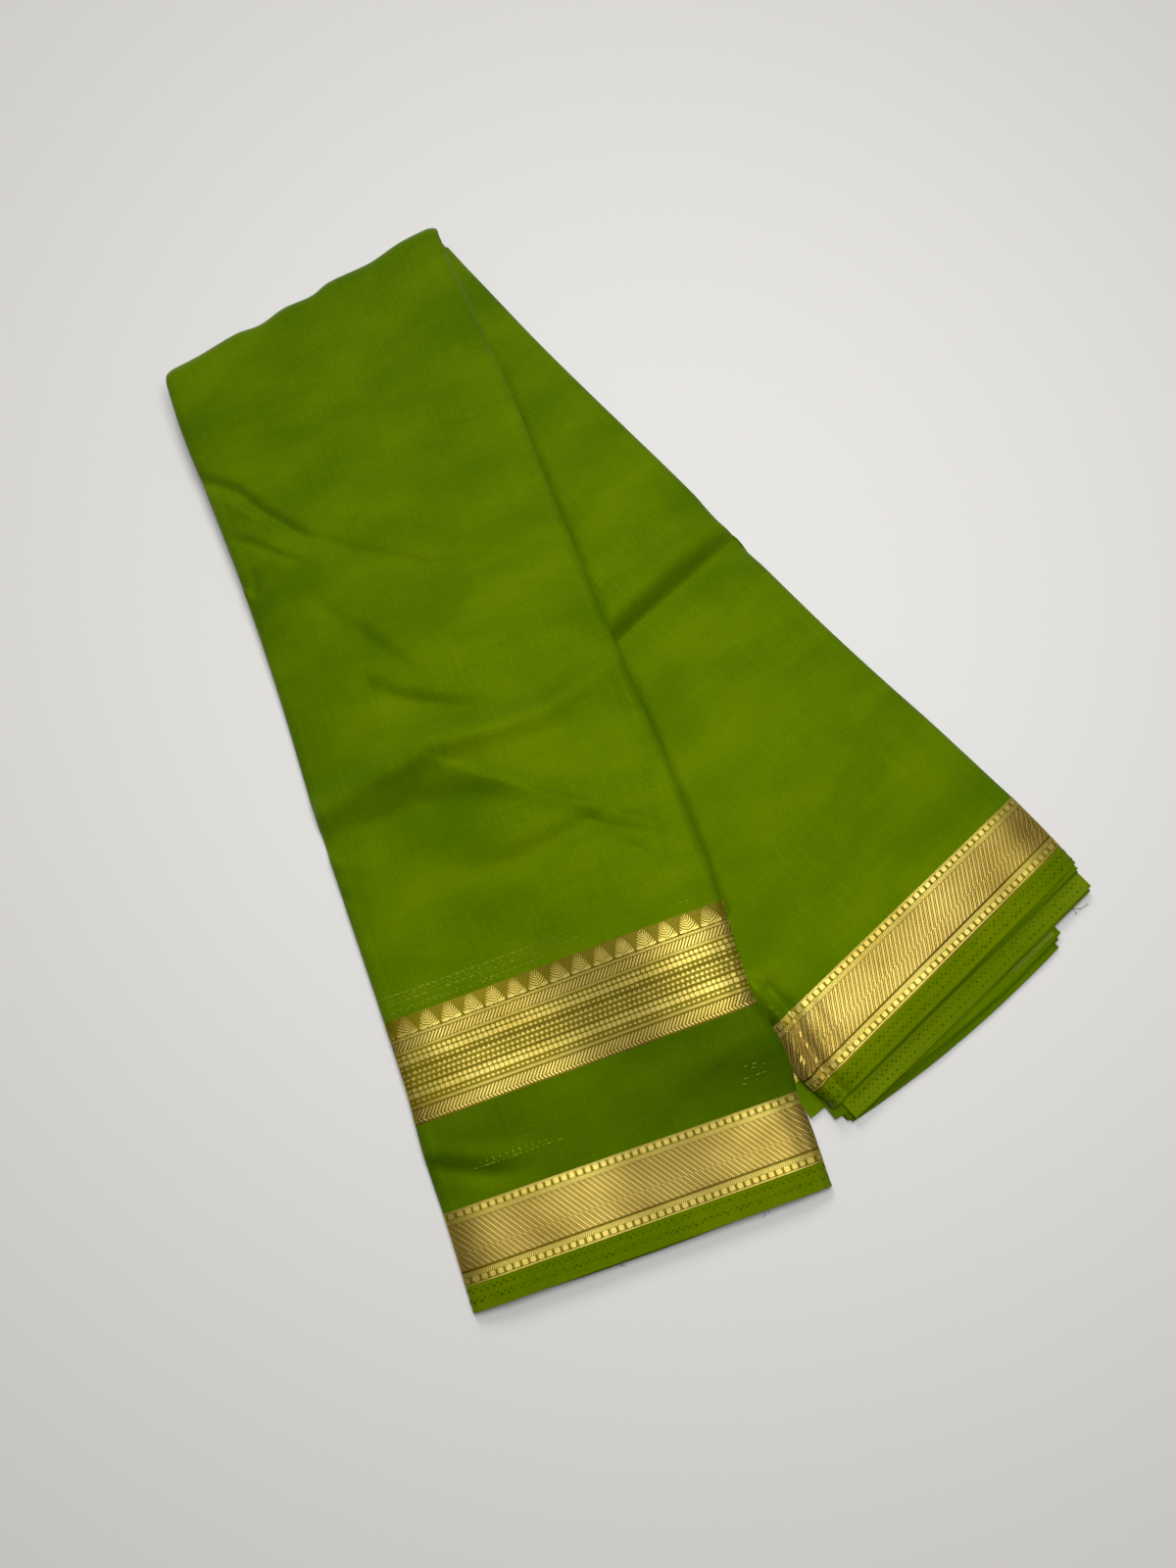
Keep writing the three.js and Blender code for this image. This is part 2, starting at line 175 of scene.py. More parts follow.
@dataclass(frozen=True)
class Fold:
    """A soft fold along a line of spots.

    Each spot is a distance along the leg, one across it, and the share of the rise there. The
    cloth rises along the line, or sinks where rise is negative. A higher power makes its sides
    steeper, and a power of 1 makes a crease. The hem side has a width of its own where given.
    """

    line: tuple[tuple[float, float, float], ...]
    width: float
    rise: float
    power: float = 2.0
    hem_width: float = 0.0

    def lift(self, s: Array, t: Array) -> Array:
        """How much the fold lifts the cloth.

        Args:
            s: Distances along the leg.
            t: Distances across the leg.

        Returns:
            The lift at each spot.
        """
        nearest = np.full(np.broadcast(s, t).shape, np.inf)
        share = np.zeros(nearest.shape)
        width = np.full(nearest.shape, self.width)
        for (s0, t0, h0), (s1, t1, h1) in zip(self.line, self.line[1:]):
            ds, dt = s1 - s0, t1 - t0
            k = np.clip(((s - s0) * ds + (t - t0) * dt) / (ds * ds + dt * dt), 0, 1)
            away = np.hypot(s - s0 - k * ds, t - t0 - k * dt)
            share = np.where(away < nearest, h0 + (h1 - h0) * k * k * (3 - 2 * k), share)
            if self.hem_width:
                hem = (s - s0 - k * ds) > 0
                width = np.where(away < nearest, np.where(hem, self.hem_width, self.width), width)
            nearest = np.minimum(nearest, away)
        return self.rise * share * np.exp(-((nearest / width) ** self.power))


@dataclass(frozen=True)
class Swell:
    """A long low wave in the cloth. Its waves run across the heading, in degrees from the leg."""

    length: float
    heading: float
    rise: float
    phase: float

    def lift(self, s: Array, t: Array) -> Array:
        """How much the swell lifts the cloth at each spot."""
        angle = math.radians(self.heading)
        along = s * math.cos(angle) + t * math.sin(angle)
        return self.rise * np.sin(2 * np.pi * along / self.length + self.phase)


SWELLS = (
    Swell(length=64, heading=78, rise=0.08, phase=0.4),
    Swell(length=41, heading=104, rise=0.05, phase=2.1),
    Swell(length=118, heading=24, rise=0.12, phase=1.2),
    Swell(length=73, heading=-31, rise=0.06, phase=4.0),
    Swell(length=27, heading=62, rise=0.037, phase=5.2),
    Swell(length=19, heading=-52, rise=0.022, phase=0.9),
)

UPPER_SECTIONS = (
    Section(10, -88.9, 90, 10.2, -0.21),
    Section(58, -90.4, 92.6, 9.8, -0.1),
    Section(105, -88.3, 94.4, 9.3, -0.03),
    Section(165, -86.4, 94.3, 9, 0),
    Section(230, -86.9, 94.4, 8.8, 0),
    Section(290, -88.8, 95.2, 8.6, 0.01),
    Section(345, -89, 96.4, 8.4, 0.015),
    Section(410, -88.9, 95.3, 8.2, 0.02),
    Section(450, -89.2, 91.8, 8, 0.025),
    Section(470, -90.5, 91, 7.8, 0.03),
    Section(484, -91.3, 93.6, 7.5, 0.035),
    Section(498, -91.3, 95.9, 7.2, 0.04),
    Section(512, -91.2, 96, 6.9, 0.045),
    Section(524, -91.3, 93.9, 6.7, 0.045),
    Section(536, -91.6, 94.6, 6.6, 0.045),
    Section(565, -92.6, 92.9, 6.4, 0.045),
)
LOWER_SECTIONS = (
    Section(10, -89, 91.4, 9.5, 0.161),
    Section(55, -89, 90.3, 9.3, 0.08),
    Section(110, -89, 88.6, 9.1, 0.03),
    Section(190, -89, 88.8, 8.9, 0),
    Section(245, -89, 89, 8.9, 0),
    Section(266, -89, 87.2, 8.9, 0),
    Section(280, -89, 89.8, 8.9, 0),
    Section(296, -89, 87.8, 8.9, 0),
    Section(366, -88, 88, 9, 0),
    Section(436, -87, 91.3, 8.8, 0),
    Section(474, -91.5, 92.5, 8.5, -0.004),
    Section(482, -91, 92.8, 8.45, -0.005),
    Section(487.5, -86.4, 93, 8.4, -0.005),
    Section(497, -88.6, 93, 8.3, -0.01),
    Section(512, -93.6, 92.8, 8.2, -0.015),
    Section(536, -92, 91.9, 8, -0.015),
)
SCALLOPS = Curve(
    (-90, -69, -43, -28, -12, 6, 18, 45, 66, 88),
    (1, 0.4, 1.7, -0.6, 1.8, 0.3, 2.9, 1.4, 4.1, 3.5),
)

UPPER_FOLDS = (
    Fold(((87, -95, 0.4), (95, -86, 1), (109, -71, 1), (124, -63, 1), (148, -45, 0.6)), 3.2, -2.6, 2, 4.5),
    Fold(
        ((130, -59, 0.3), (148, -45, 0.8), (165, -24, 1), (190, 15, 1), (200, 53, 0.9), (196, 88, 0.4)),
        4.5, -1.7, 2, 8,
    ),
    Fold(((114, -78, 0.2), (121, -72, 1), (134, -61, 1), (151, -47, 0.2)), 2.2, 1.2),
    Fold(((132, -84, 0.3), (141, -73, 1), (154, -61, 0.9), (172, -39, 0)), 2.2, -1.6, 2, 4),
    Fold(((182, -56, 0), (202, -43, 0.7), (215, -33, 1), (235, -21, 0.8), (257, -6, 0)), 5, -1.9, 2, 10),
    Fold(((194, -76, 0.4), (192, -56, 1), (204, -40, 0.4), (218, -33, 0)), 5, 1),
    Fold(
        ((234, -46, 0), (246, -36, 0.6), (257, -25, 1), (266, -11, 1), (282, 20, 0.5), (286, 42, 0)),
        5.5, -3.1, 2, 11,
    ),
    Fold(
        ((300, -88, 0.8), (293, -56, 1), (287, -21, 1), (290, 17, 1), (291, 44, 0.8), (280, 90, 0.5)),
        8.5, 4.4, 2, 9,
    ),
    Fold(
        ((315, -88, 0.8), (317, -60, 1), (314, -35, 1), (324, -4, 0.8), (332, 26, 0.5), (338, 50, 0.2)),
        8.5, -2.8, 2, 12,
    ),
    Fold(((290, -28, 0.2), (308, -4, 1), (330, 24, 1), (348, 50, 1), (369, 78, 0.6)), 1.9, 1.2, 2, 7),
    Fold(((346, 36, 0), (362, 54, 1), (376, 78, 0.5)), 2.2, -0.65),
    Fold(((356, -40, 0), (362, 4, 1), (358, 39, 1), (355, 70, 0.4)), 7, -2.2, 2, 9),
    Fold(((368, 50, 0.2), (379, 63, 1), (391, 71, 0.2)), 4.5, -1.2),
    Fold(((105, 6, 0), (108, 44, 1), (114, 89, 1)), 1.1, -0.52, 1.4),
    Fold(((160, -78, 0.4), (171, -82, 1), (189, -83, 0.3)), 3, -1.6),
    Fold(((166, -86, 1), (176, -80, 0.4)), 2.2, 1.2),
    Fold(((297, -90, 1), (304, -89, 1), (318, -86, 0.3)), 3, -1.7),
    Fold(((325, -90, 1), (331, -82, 0.3)), 3.5, 1.4),
    Fold(((345, -92, 1), (352, -82, 0.3)), 3, -1.2),
    Fold(((484, -86, 1), (496, -58, 1), (500, -34, 0.2)), 5, 1),
    Fold(((490, -88, 1), (504, -62, 1), (508, -44, 0.2)), 4, -1.2),
    Fold(((330, 96, 0.4), (350, 84, 1), (390, 80, 1)), 6, -1),
)
LOWER_FOLDS = (
    Fold(((284, -36, 1), (281.5, 20, 1), (280.5, 96, 0.9)), 6.5, -6, 2, 15),
    Fold(((266, -20, 1), (264.5, 50, 1), (264, 94, 0.6)), 9, 2),
    Fold(
        (
            (110, 57.8, 0.5), (146, 43.8, 1), (220.5, 14.9, 1), (295.4, -13.2, 1), (370.6, -40.7, 1),
            (430, -65.7, 1),
        ),
        3.4, -2.2,
    ),
    Fold(((299, 4, 0.6), (297, 50, 1), (296, 92, 0.6)), 9, 0.65),
    Fold(((345, -30, 0.5), (362, 20, 1), (352, 70, 0.5)), 20, -0.91),
    Fold(((410, -60, 0.5), (400, 0, 1), (418, 70, 0.5)), 24, 0.91),
    Fold(
        (
            (466, -80, 0.6), (477, -80.6, 1), (490, -81.3, 1), (497, -84.5, 1), (516, -89.3, 1),
            (538, -88.5, 1),
        ),
        3.4, 4.6,
    ),
    Fold(
        ((474, -76, 1), (485, -75.2, 1), (492, -75.6, 1), (502, -79, 1), (522, -82.6, 1), (538, -82.5, 1)),
        3.2, -1.9,
    ),
    Fold(((470, -64, 1), (490, -65, 1), (515, -69, 1), (530, -72, 1)), 5, 0.78),
)


class Leg:
    """One half of the bundle, and the surface of the cloth on it."""

    def __init__(self, degrees: float, sections: Sequence[Section], folds: Sequence[Fold]) -> None:
        """Turns the leg's table into curves.

        Args:
            degrees: The leg's direction in plan, from +X.
            sections: The leg's sections, from the bend to the hem.
            folds: The folds in its top layer.
        """
        angle = math.radians(degrees)
        self.axis = np.array([math.cos(angle), math.sin(angle)])
        self.side = np.array([-self.axis[1], self.axis[0]])
        self.folds = folds
        stations = [section.station for section in sections]
        self.left = Curve(stations, [section.left for section in sections])
        self.right = Curve(stations, [section.right for section in sections])
        self.thick = Curve(stations, [section.thick for section in sections])
        self.skew = Curve(stations, [section.skew for section in sections])

    def plan(self, s: Array, t: Array) -> Array:
        """The plan position of each spot."""
        return np.multiply.outer(s, self.axis) + np.multiply.outer(t, self.side)

    def flat_edges(self, station: Array) -> tuple[Array, Array]:
        """Where a row starts to turn down at its left and right."""
        reach = self.skew.at(station) * HALF_WIDTH
        low = self.left.at(station - reach) + CURL_WIDTH
        high = self.right.at(station + reach) - CURL_WIDTH
        return low, high

    def spot(self, station: Array, arc: Array) -> tuple[Array, Array, Array]:
        """Finds the spot of a place on the cloth.

        Args:
            station: The row's station.
            arc: The distance along the cloth from the leg's middle line.

        Returns:
            The distance along the leg, the distance across it, and the angle that the cloth has
            turned down, in radians.
        """
        low, high = self.flat_edges(station)
        over = np.minimum(arc - low, 0) + np.maximum(arc - high, 0)
        turn = np.clip(np.abs(over) / CURL_ARC, 0, CURL_LIMIT) * np.pi / 2
        t = np.clip(arc, low, high) + np.sign(over) * CURL_WIDTH * np.sin(turn)
        return station + self.skew.at(station) * t, t, turn

    def from_bend(self, s: Array, t: Array) -> Array:
        """How far a spot is from where the bend ends."""
        return s - BEND_START + 0 * t

    def lift(self, s: Array, t: Array) -> Array:
        """How much the folds and swells lift the cloth. They die away at the bend."""
        waves = sum(swell.lift(s, t) for swell in SWELLS)
        folds = sum(fold.lift(s, t) for fold in self.folds)
        return (waves + folds) * smoothstep(self.from_bend(s, t), 0, BEND_BLEND / 2)

    def plain(self, s: Array, t: Array) -> Array:
        """Height of the bundle's top without folds."""
        return self.thick.at(s) + 0 * t

    def surface(self, station: Array, arc: Array) -> Array:
        """The outside of the cloth.

        Args:
            station: The row's station.
            arc: The distance along the cloth from the leg's middle line.

        Returns:
            The position in the part's frame, in millimetres.
        """
        s, t, turn = self.spot(station, arc)
        lift = self.lift(s, t) - self.shoulder(station, arc, s, t)
        drop = (CURL_DROP + np.maximum(lift, 0)) * (1 - np.cos(turn))
        height = np.maximum(self.plain(s, t) + lift - drop, LOWEST)
        return self.place(self.plan(s, t), height)

    def shoulder(self, station: Array, arc: Array, s: Array, t: Array) -> Array:
        """How far the top has sunk close to its side edges."""
        low, high = self.flat_edges(station)
        inside = np.clip(np.minimum(arc - low, high - arc) / SHOULDER_WIDTH, 0, 1)
        fade = smoothstep(self.from_bend(s, t), 0, BEND_BLEND / 2)
        return SHOULDER_DROP * (1 - inside) ** 2 * fade

    @staticmethod
    def place(plan: Array, height: Array) -> Array:
        """Joins plan positions and heights into positions in the part's frame."""
        return np.concatenate([plan + BEND_PLACE, height[..., None]], axis=-1)

    def normal(self, station: Array, arc: Array) -> Array:
        """The outward direction of the cloth at each place."""
        step = 0.3
        along = self.surface(station + step, arc) - self.surface(station - step, arc)
        across = self.surface(station, arc + step) - self.surface(station, arc - step)
        out = np.cross(along, across)
        return out / np.maximum(np.linalg.norm(out, axis=-1, keepdims=True), 1e-9)


class UpperLeg(Leg):
    """The leg that bends over and lies on the other one."""

    def __init__(self, lower: Leg) -> None:
        """Makes the leg over the lower one."""
        super().__init__(-69.05, UPPER_SECTIONS, UPPER_FOLDS)
        self.lower = lower

    def support(self, s: Array, t: Array, end: float = DRAPE_END, start: float = DRAPE_START) -> Array:
        """Height of what carries the leg: the lower leg, the drape beside it, or the table.

        Args:
            s: Distances along the leg.
            t: Distances across the leg.
            end: Where the drape reaches the table, from the lower leg's left edge.
            start: Where the drape starts.

        Returns:
            The height at each spot.
        """
        plan = self.plan(s, t)
        lower_s = plan @ self.lower.axis
        lower_t = plan @ self.lower.side
        inside = lower_t - self.lower.left.at(np.minimum(lower_s, SUPPORT_END))
        drape = smoothstep(inside, end, start)
        held = 1 - smoothstep(s, SUPPORT_END, TABLE_START)
        return (self.lower.thick.at(lower_s) + LAYER_GAP) * drape * held

    def from_bend(self, s: Array, t: Array) -> Array:
        """How far a spot is from where the bend ends, which follows the bend's skew."""
        return s - BEND_STATION - BEND_SKEW * t - BEND_RADIUS

    def plain(self, s: Array, t: Array) -> Array:
        """Height of the leg's top without folds. Close to the bend it meets the bend's top."""
        blend = smoothstep(self.from_bend(s, t), 0, BEND_BLEND)
        carried = self.support(s, t, TOP_DRAPE_END, TOP_DRAPE_START)
        return mix(2 * BEND_RADIUS, carried + self.thick.at(s), blend)

    def spot(self, station: Array, arc: Array) -> tuple[Array, Array, Array]:
        """Finds the spot of a place on the cloth, with the scallops of the bend's edge."""
        s, t, turn = super().spot(station, arc)
        fade = 1 - smoothstep(station, BEND_RADIUS, BEND_RADIUS + BEND_BLEND)
        return s - SCALLOPS.at(t) * fade, t, turn

    def bend(self, degrees: Array, arc: Array, radius: Array | None = None) -> Array:
        """A place on the bend.

        Args:
            degrees: 0 on top of the bend and 180 on the table.
            arc: The distance along the cloth from the leg's middle line.
            radius: The distance from the bend's axis, or None for the outside of the cloth.

        Returns:
            The position in the part's frame, in millimetres.
        """
        s, t, turn = self.spot(np.full_like(arc, BEND_START), arc)
        if radius is None:
            radius = BEND_RADIUS - CURL_DROP * (1 - np.cos(turn))
            height = BEND_RADIUS
        else:
            height = mix(BEND_RADIUS, SLOT_HEIGHT, radius < BEND_RADIUS / 2)
        angle = np.radians(degrees)
        edge = self.plan(s - BEND_RADIUS, t)
        share = (np.asarray(degrees) / 180)[..., None]
        inwards = self.axis + (self.lower.axis - self.axis) * share
        edge = edge + inwards * (BEND_RADIUS - radius * np.sin(angle))[..., None]
        return self.place(edge, height + radius * np.cos(angle))

    def surface(self, station: Array, arc: Array) -> Array:
        """The outside of the cloth, on the leg or round the bend before its first row."""
        degrees = np.degrees((BEND_START - station) / BEND_RADIUS)
        on_leg = super().surface(np.maximum(station, BEND_START), arc)
        on_bend = self.bend(np.maximum(degrees, 0), arc)
        return np.where((station < BEND_START)[..., None], on_bend, on_leg)


LOWER = Leg(-47.98, LOWER_SECTIONS, LOWER_FOLDS)
UPPER = UpperLeg(LOWER)


def make_object(
    name: str, points: Array, faces: Sequence, uv: Array | None = None, sharp: float = 50
) -> bpy.types.Object:
    """Makes a mesh object at the origin.

    Args:
        name: The object's name.
        points: Vertex positions in millimetres.
        faces: Vertex indices of each face.
        uv: Two numbers a vertex, in metres, kept as the map called cloth.
        sharp: Edges that turn further than this many degrees are sharp.

    Returns:
        The object.
    """
    mesh = bpy.data.meshes.new(name)
    mesh.from_pydata((points.reshape(-1, 3) * MM).tolist(), [], faces)
    if uv is not None:
        layer = mesh.uv_layers.new(name="cloth")
        index = np.empty(len(mesh.loops), dtype=np.int32)
        mesh.loops.foreach_get("vertex_index", index)
        layer.data.foreach_set("uv", uv.reshape(-1, 2)[index].astype(np.float32).ravel())
    mesh.shade_smooth()
    mesh.set_sharp_from_angle(angle=math.radians(sharp))
    mesh.update()
    body = bpy.data.objects.new(name, mesh)
    bpy.context.scene.collection.objects.link(body)
    return body


def grid_faces(rows: int, columns: int) -> list[tuple[int, int, int, int]]:
    """Faces of a closed sheet between two grids of points, the outer one first.

    Args:
        rows: Rows of each grid.
        columns: Columns of each grid.

    Returns:
        The vertex indices of each face.
    """
    back = rows * columns
    i, j = np.meshgrid(np.arange(rows - 1), np.arange(columns - 1), indexing="ij")
    a = (i * columns + j).ravel()
    top = np.stack([a, a + columns, a + columns + 1, a + 1], axis=1)
    under = top[:, ::-1] + back
    r = np.arange(rows - 1) * columns
    e = r + columns - 1
    left = np.stack([r, back + r, back + r + columns, r + columns], axis=1)
    right = np.stack([e, e + columns, back + e + columns, back + e], axis=1)
    c = np.arange(columns - 1)
    f = c + (rows - 1) * columns
    first = np.stack([c, c + 1, back + c + 1, back + c], axis=1)
    last = np.stack([f, back + f, back + f + 1, f + 1], axis=1)
    return np.concatenate([top, under, left, right, first, last]).tolist()


def grid_normals(outer: Array) -> Array:
    """The outward direction at each point of a grid."""
    out = np.cross(np.gradient(outer, axis=0), np.gradient(outer, axis=1))
    return out / np.maximum(np.linalg.norm(out, axis=-1, keepdims=True), 1e-9)


def sheet_object(name: str, outer: Array, uv: Array, depth: float) -> bpy.types.Object:
    """Makes a thin closed sheet under a grid of points.

    Args:
        name: The object's name.
        outer: The grid of the outside, rows by columns by 3, in millimetres.
        uv: Two numbers for each point of the grid, in metres.
        depth: The sheet's thickness.

    Returns:
        The object.
    """
    inner = outer - grid_normals(outer) * depth
    points = np.concatenate([outer.reshape(-1, 3), inner.reshape(-1, 3)])
    both = np.concatenate([uv.reshape(-1, 2)] * 2)
    return make_object(name, points, grid_faces(*outer.shape[:2]), both)


def join(name: str, parts: Sequence[bpy.types.Object]) -> bpy.types.Object:
    """Joins objects into the first one and renames it.

    Args:
        name: The new name.
        parts: The objects, which lie at the origin.

    Returns:
        The joined object.
    """
    with bpy.context.temp_override(
        active_object=parts[0], selected_editable_objects=list(parts), object=parts[0]
    ):
        bpy.ops.object.join()
    parts[0].name = name
    parts[0].data.name = name
    return parts[0]


def finish_piece(piece: bpy.types.Object, nodes: Sequence[str] = ()) -> None:
    """Ties a finished piece to the part.

    Args:
        piece: The piece.
        nodes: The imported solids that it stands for.
    """
    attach(piece, BODY)
    if nodes:
        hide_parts(*nodes)
    logger.info("%s: %d faces", piece.name, len(piece.data.polygons))


class Nodes:
    """Adds nodes to a node tree."""

    def __init__(self, tree: bpy.types.NodeTree) -> None:
        """Starts on an empty tree."""
        self.tree = tree
        self.tree.nodes.clear()

    def add(self, kind: str, inputs: dict | None = None, **settings: object) -> bpy.types.Node:
        """Adds a node.

        Args:
            kind: The node's type.
            inputs: What each input takes: another node's output, or a value.
            settings: The node's own settings.

        Returns:
            The node.
        """
        node = self.tree.nodes.new(kind)
        for key, value in settings.items():
            setattr(node, key, value)
        for key, value in (inputs or {}).items():
            if isinstance(value, bpy.types.NodeSocket):
                self.tree.links.new(value, node.inputs[key])
            else:
                node.inputs[key].default_value = value
        return node

    def math(self, operation: str, *values: object) -> bpy.types.NodeSocket:
        """Adds a math node and gives its result."""
        node = self.add("ShaderNodeMath", dict(enumerate(values)), operation=operation)
        return node.outputs[0]

    def ramp(self, value: bpy.types.NodeSocket, low: float, high: float) -> bpy.types.NodeSocket:
        """A smooth step from 0 at the low value to 1 at the high value."""
        inputs = {"Value": value, "From Min": low, "From Max": high}
        node = self.add("ShaderNodeMapRange", inputs, interpolation_type="SMOOTHSTEP")
        return node.outputs["Result"]

    def blend(self, share: object, first: object, second: object) -> bpy.types.NodeSocket:
        """Mixes two colours by a share."""
        node = self.add("ShaderNodeMix", data_type="RGBA")
        for socket, value in ((node.inputs[0], share), (node.inputs[6], first), (node.inputs[7], second)):
            if isinstance(value, bpy.types.NodeSocket):
                self.tree.links.new(value, socket)
            else:
                socket.default_value = value if isinstance(value, float) else (*value, 1)
        return node.outputs[2]

    def noise(
        self, place: bpy.types.NodeSocket, scale: Sequence[float], detail: float = 2.0
    ) -> bpy.types.NodeSocket:
        """A noise whose cells have their own number per metre along each axis."""
        stretched = self.add("ShaderNodeMapping", {"Vector": place, "Scale": scale})
        inputs = {"Vector": stretched.outputs[0], "Scale": 1.0, "Detail": detail}
        return self.add("ShaderNodeTexNoise", inputs).outputs[0]


def new_material(name: str) -> tuple[bpy.types.Material, Nodes]:
    """Makes an empty node material."""
    material = bpy.data.materials.new(name)
    material.use_nodes = True
    return material, Nodes(material.node_tree)


def close_material(nodes: Nodes, shader: bpy.types.Node) -> None:
    """Wires a shader to the material's output."""
    nodes.add("ShaderNodeOutputMaterial", {"Surface": shader.outputs[0]})


@dataclass(frozen=True)
class ClothFinish:
    """Thin plain-woven cloth with a soft sheen, in two close tones."""

    name: str
    deep: Color
    light: Color
    sheen: float = 0.08
    roughness: float = 0.5
    thread_pitch: float = 0.42
    ripple_pitch: float = 1.15
    bump_strength: float = 0.5
    bump_depth: float = 0.22

    def build(self) -> bpy.types.Material:
        """Makes the material. Its pattern follows the cloth's own map."""
        material, nodes = new_material(self.name)
        place = nodes.add("ShaderNodeUVMap", uv_map="cloth").outputs[0]
        patches = nodes.noise(place, (14, 26, 1), 4)
        streaks = nodes.noise(place, (1 / (self.ripple_pitch * MM), 22, 1))
        slubs = nodes.noise(place, (40, 1300, 1), 1)
        grain = nodes.noise(place, (900, 900, 1), 2)
        fine = nodes.math("ADD", nodes.math("MULTIPLY", streaks, 0.1), nodes.math("MULTIPLY", slubs, 0.1))
        fine = nodes.math("ADD", fine, nodes.math("MULTIPLY", grain, 0.22))
        tone = nodes.math("ADD", nodes.math("MULTIPLY", patches, 0.42), fine)
        color = nodes.blend(nodes.ramp(tone, 0.3, 0.55), self.deep, self.light)
        ripples = nodes.math("MULTIPLY", streaks, 0.6)
        weave = self.weave(nodes, place)
        height = nodes.math("ADD", ripples, nodes.math("MULTIPLY", weave, 0.18))
        inputs = {"Height": height, "Strength": self.bump_strength, "Distance": self.bump_depth * MM}
        bump = nodes.add("ShaderNodeBump", inputs).outputs[0]
        shader = nodes.add(
            "ShaderNodeBsdfPrincipled",
            {
                "Base Color": color,
                "Normal": bump,
                "Roughness": self.roughness,
                "IOR": 1.5,
                "Specular IOR Level": 0.4,
                "Specular Tint": (0.5, 0.66, 0.0, 1),
                "Sheen Weight": self.sheen,
                "Sheen Roughness": 0.4,
                "Sheen Tint": (0.62, 0.85, 0.0, 1),
            },
        )
        close_material(nodes, shader)
        return material

    def weave(self, nodes: Nodes, place: bpy.types.NodeSocket) -> bpy.types.NodeSocket:
        """Height of the plain weave's threads, which cross each other."""
        parts = nodes.add("ShaderNodeSeparateXYZ", {0: place})
        turn = math.pi / (self.thread_pitch * MM)
        warp = nodes.math("SINE", nodes.math("MULTIPLY", parts.outputs[0], turn))
        weft = nodes.math("SINE", nodes.math("MULTIPLY", parts.outputs[1], turn))
        return nodes.math("MULTIPLY", warp, weft)


@dataclass(frozen=True)
class ZariFinish:
    """Metal thread woven into the cloth: the ground between motifs, or the motifs' own floats.

    Its colour carries painted shade about one place across the band, and beyond another towards the
    band's ends, both in millimetres from the leg's middle line.
    """

    name: str
    bright: Color
    dull: Color
    metallic: float
    roughness: float
    shade_at: float = 22.0
    shade_width: float = 30.0
    shade: float = 0.5
    side_from: float = 77.0
    side_width: float = 11.0
    thread_pitch: float = 0.5
    relief: float = 0.12

    def painted_shade(self, nodes: Nodes, arc: bpy.types.NodeSocket) -> bpy.types.NodeSocket:
        """How much painted shade darkens the thread where it would turn away from the light: where the band
        dips and at its sides.
        """
        away = nodes.math("ABSOLUTE", nodes.math("SUBTRACT", arc, self.shade_at * MM))
        dip = nodes.ramp(away, self.shade_width * 1.5 * MM, self.shade_width * 0.4 * MM)
        side_to = self.side_from + self.side_width
        side = nodes.ramp(nodes.math("ABSOLUTE", arc), self.side_from * MM, side_to * MM)
        return nodes.math("MULTIPLY", nodes.math("MAXIMUM", dip, side), self.shade)

    def build(self) -> bpy.types.Material:
        """Makes the material. Its threads run along the border, across the leg."""
        material, nodes = new_material(self.name)
        place = nodes.add("ShaderNodeUVMap", uv_map="cloth").outputs[0]
        parts = nodes.add("ShaderNodeSeparateXYZ", {0: place})
        turn = 2 * math.pi / (self.thread_pitch * MM)
        thread = nodes.math("SINE", nodes.math("MULTIPLY", parts.outputs[1], turn))
        grain = nodes.noise(place, (1500, 2600, 1), 1)
        # The patches mix dull and bright thread: partly the metal's own uneven tone, partly painted glint
        patches = nodes.noise(place, (26, 40, 1), 2)
        tone = nodes.math("ADD", nodes.math("MULTIPLY", grain, 0.62), nodes.math("MULTIPLY", patches, 0.38))
        color = nodes.blend(nodes.ramp(tone, 0.36, 0.62), self.dull, self.bright)
        # Painted shade: the colour is blended towards a darker copy of the dull thread
        painted_shade_color = tuple(channel * 0.34 for channel in self.dull)
        color = nodes.blend(self.painted_shade(nodes, parts.outputs[0]), color, painted_shade_color)
        height = nodes.math("ADD", nodes.math("MULTIPLY", thread, 0.25), grain)
        inputs = {"Height": height, "Strength": 0.6, "Distance": self.relief * MM}
        bump = nodes.add("ShaderNodeBump", inputs).outputs[0]
        shader = nodes.add(
            "ShaderNodeBsdfPrincipled",
            {
                "Base Color": color,
                "Normal": bump,
                "Metallic": self.metallic,
                "Roughness": self.roughness,
                "Specular IOR Level": 0.4,
                "Specular Tint": (1.0, 0.85, 0.3, 1),
            },
        )
        close_material(nodes, shader)
        return material


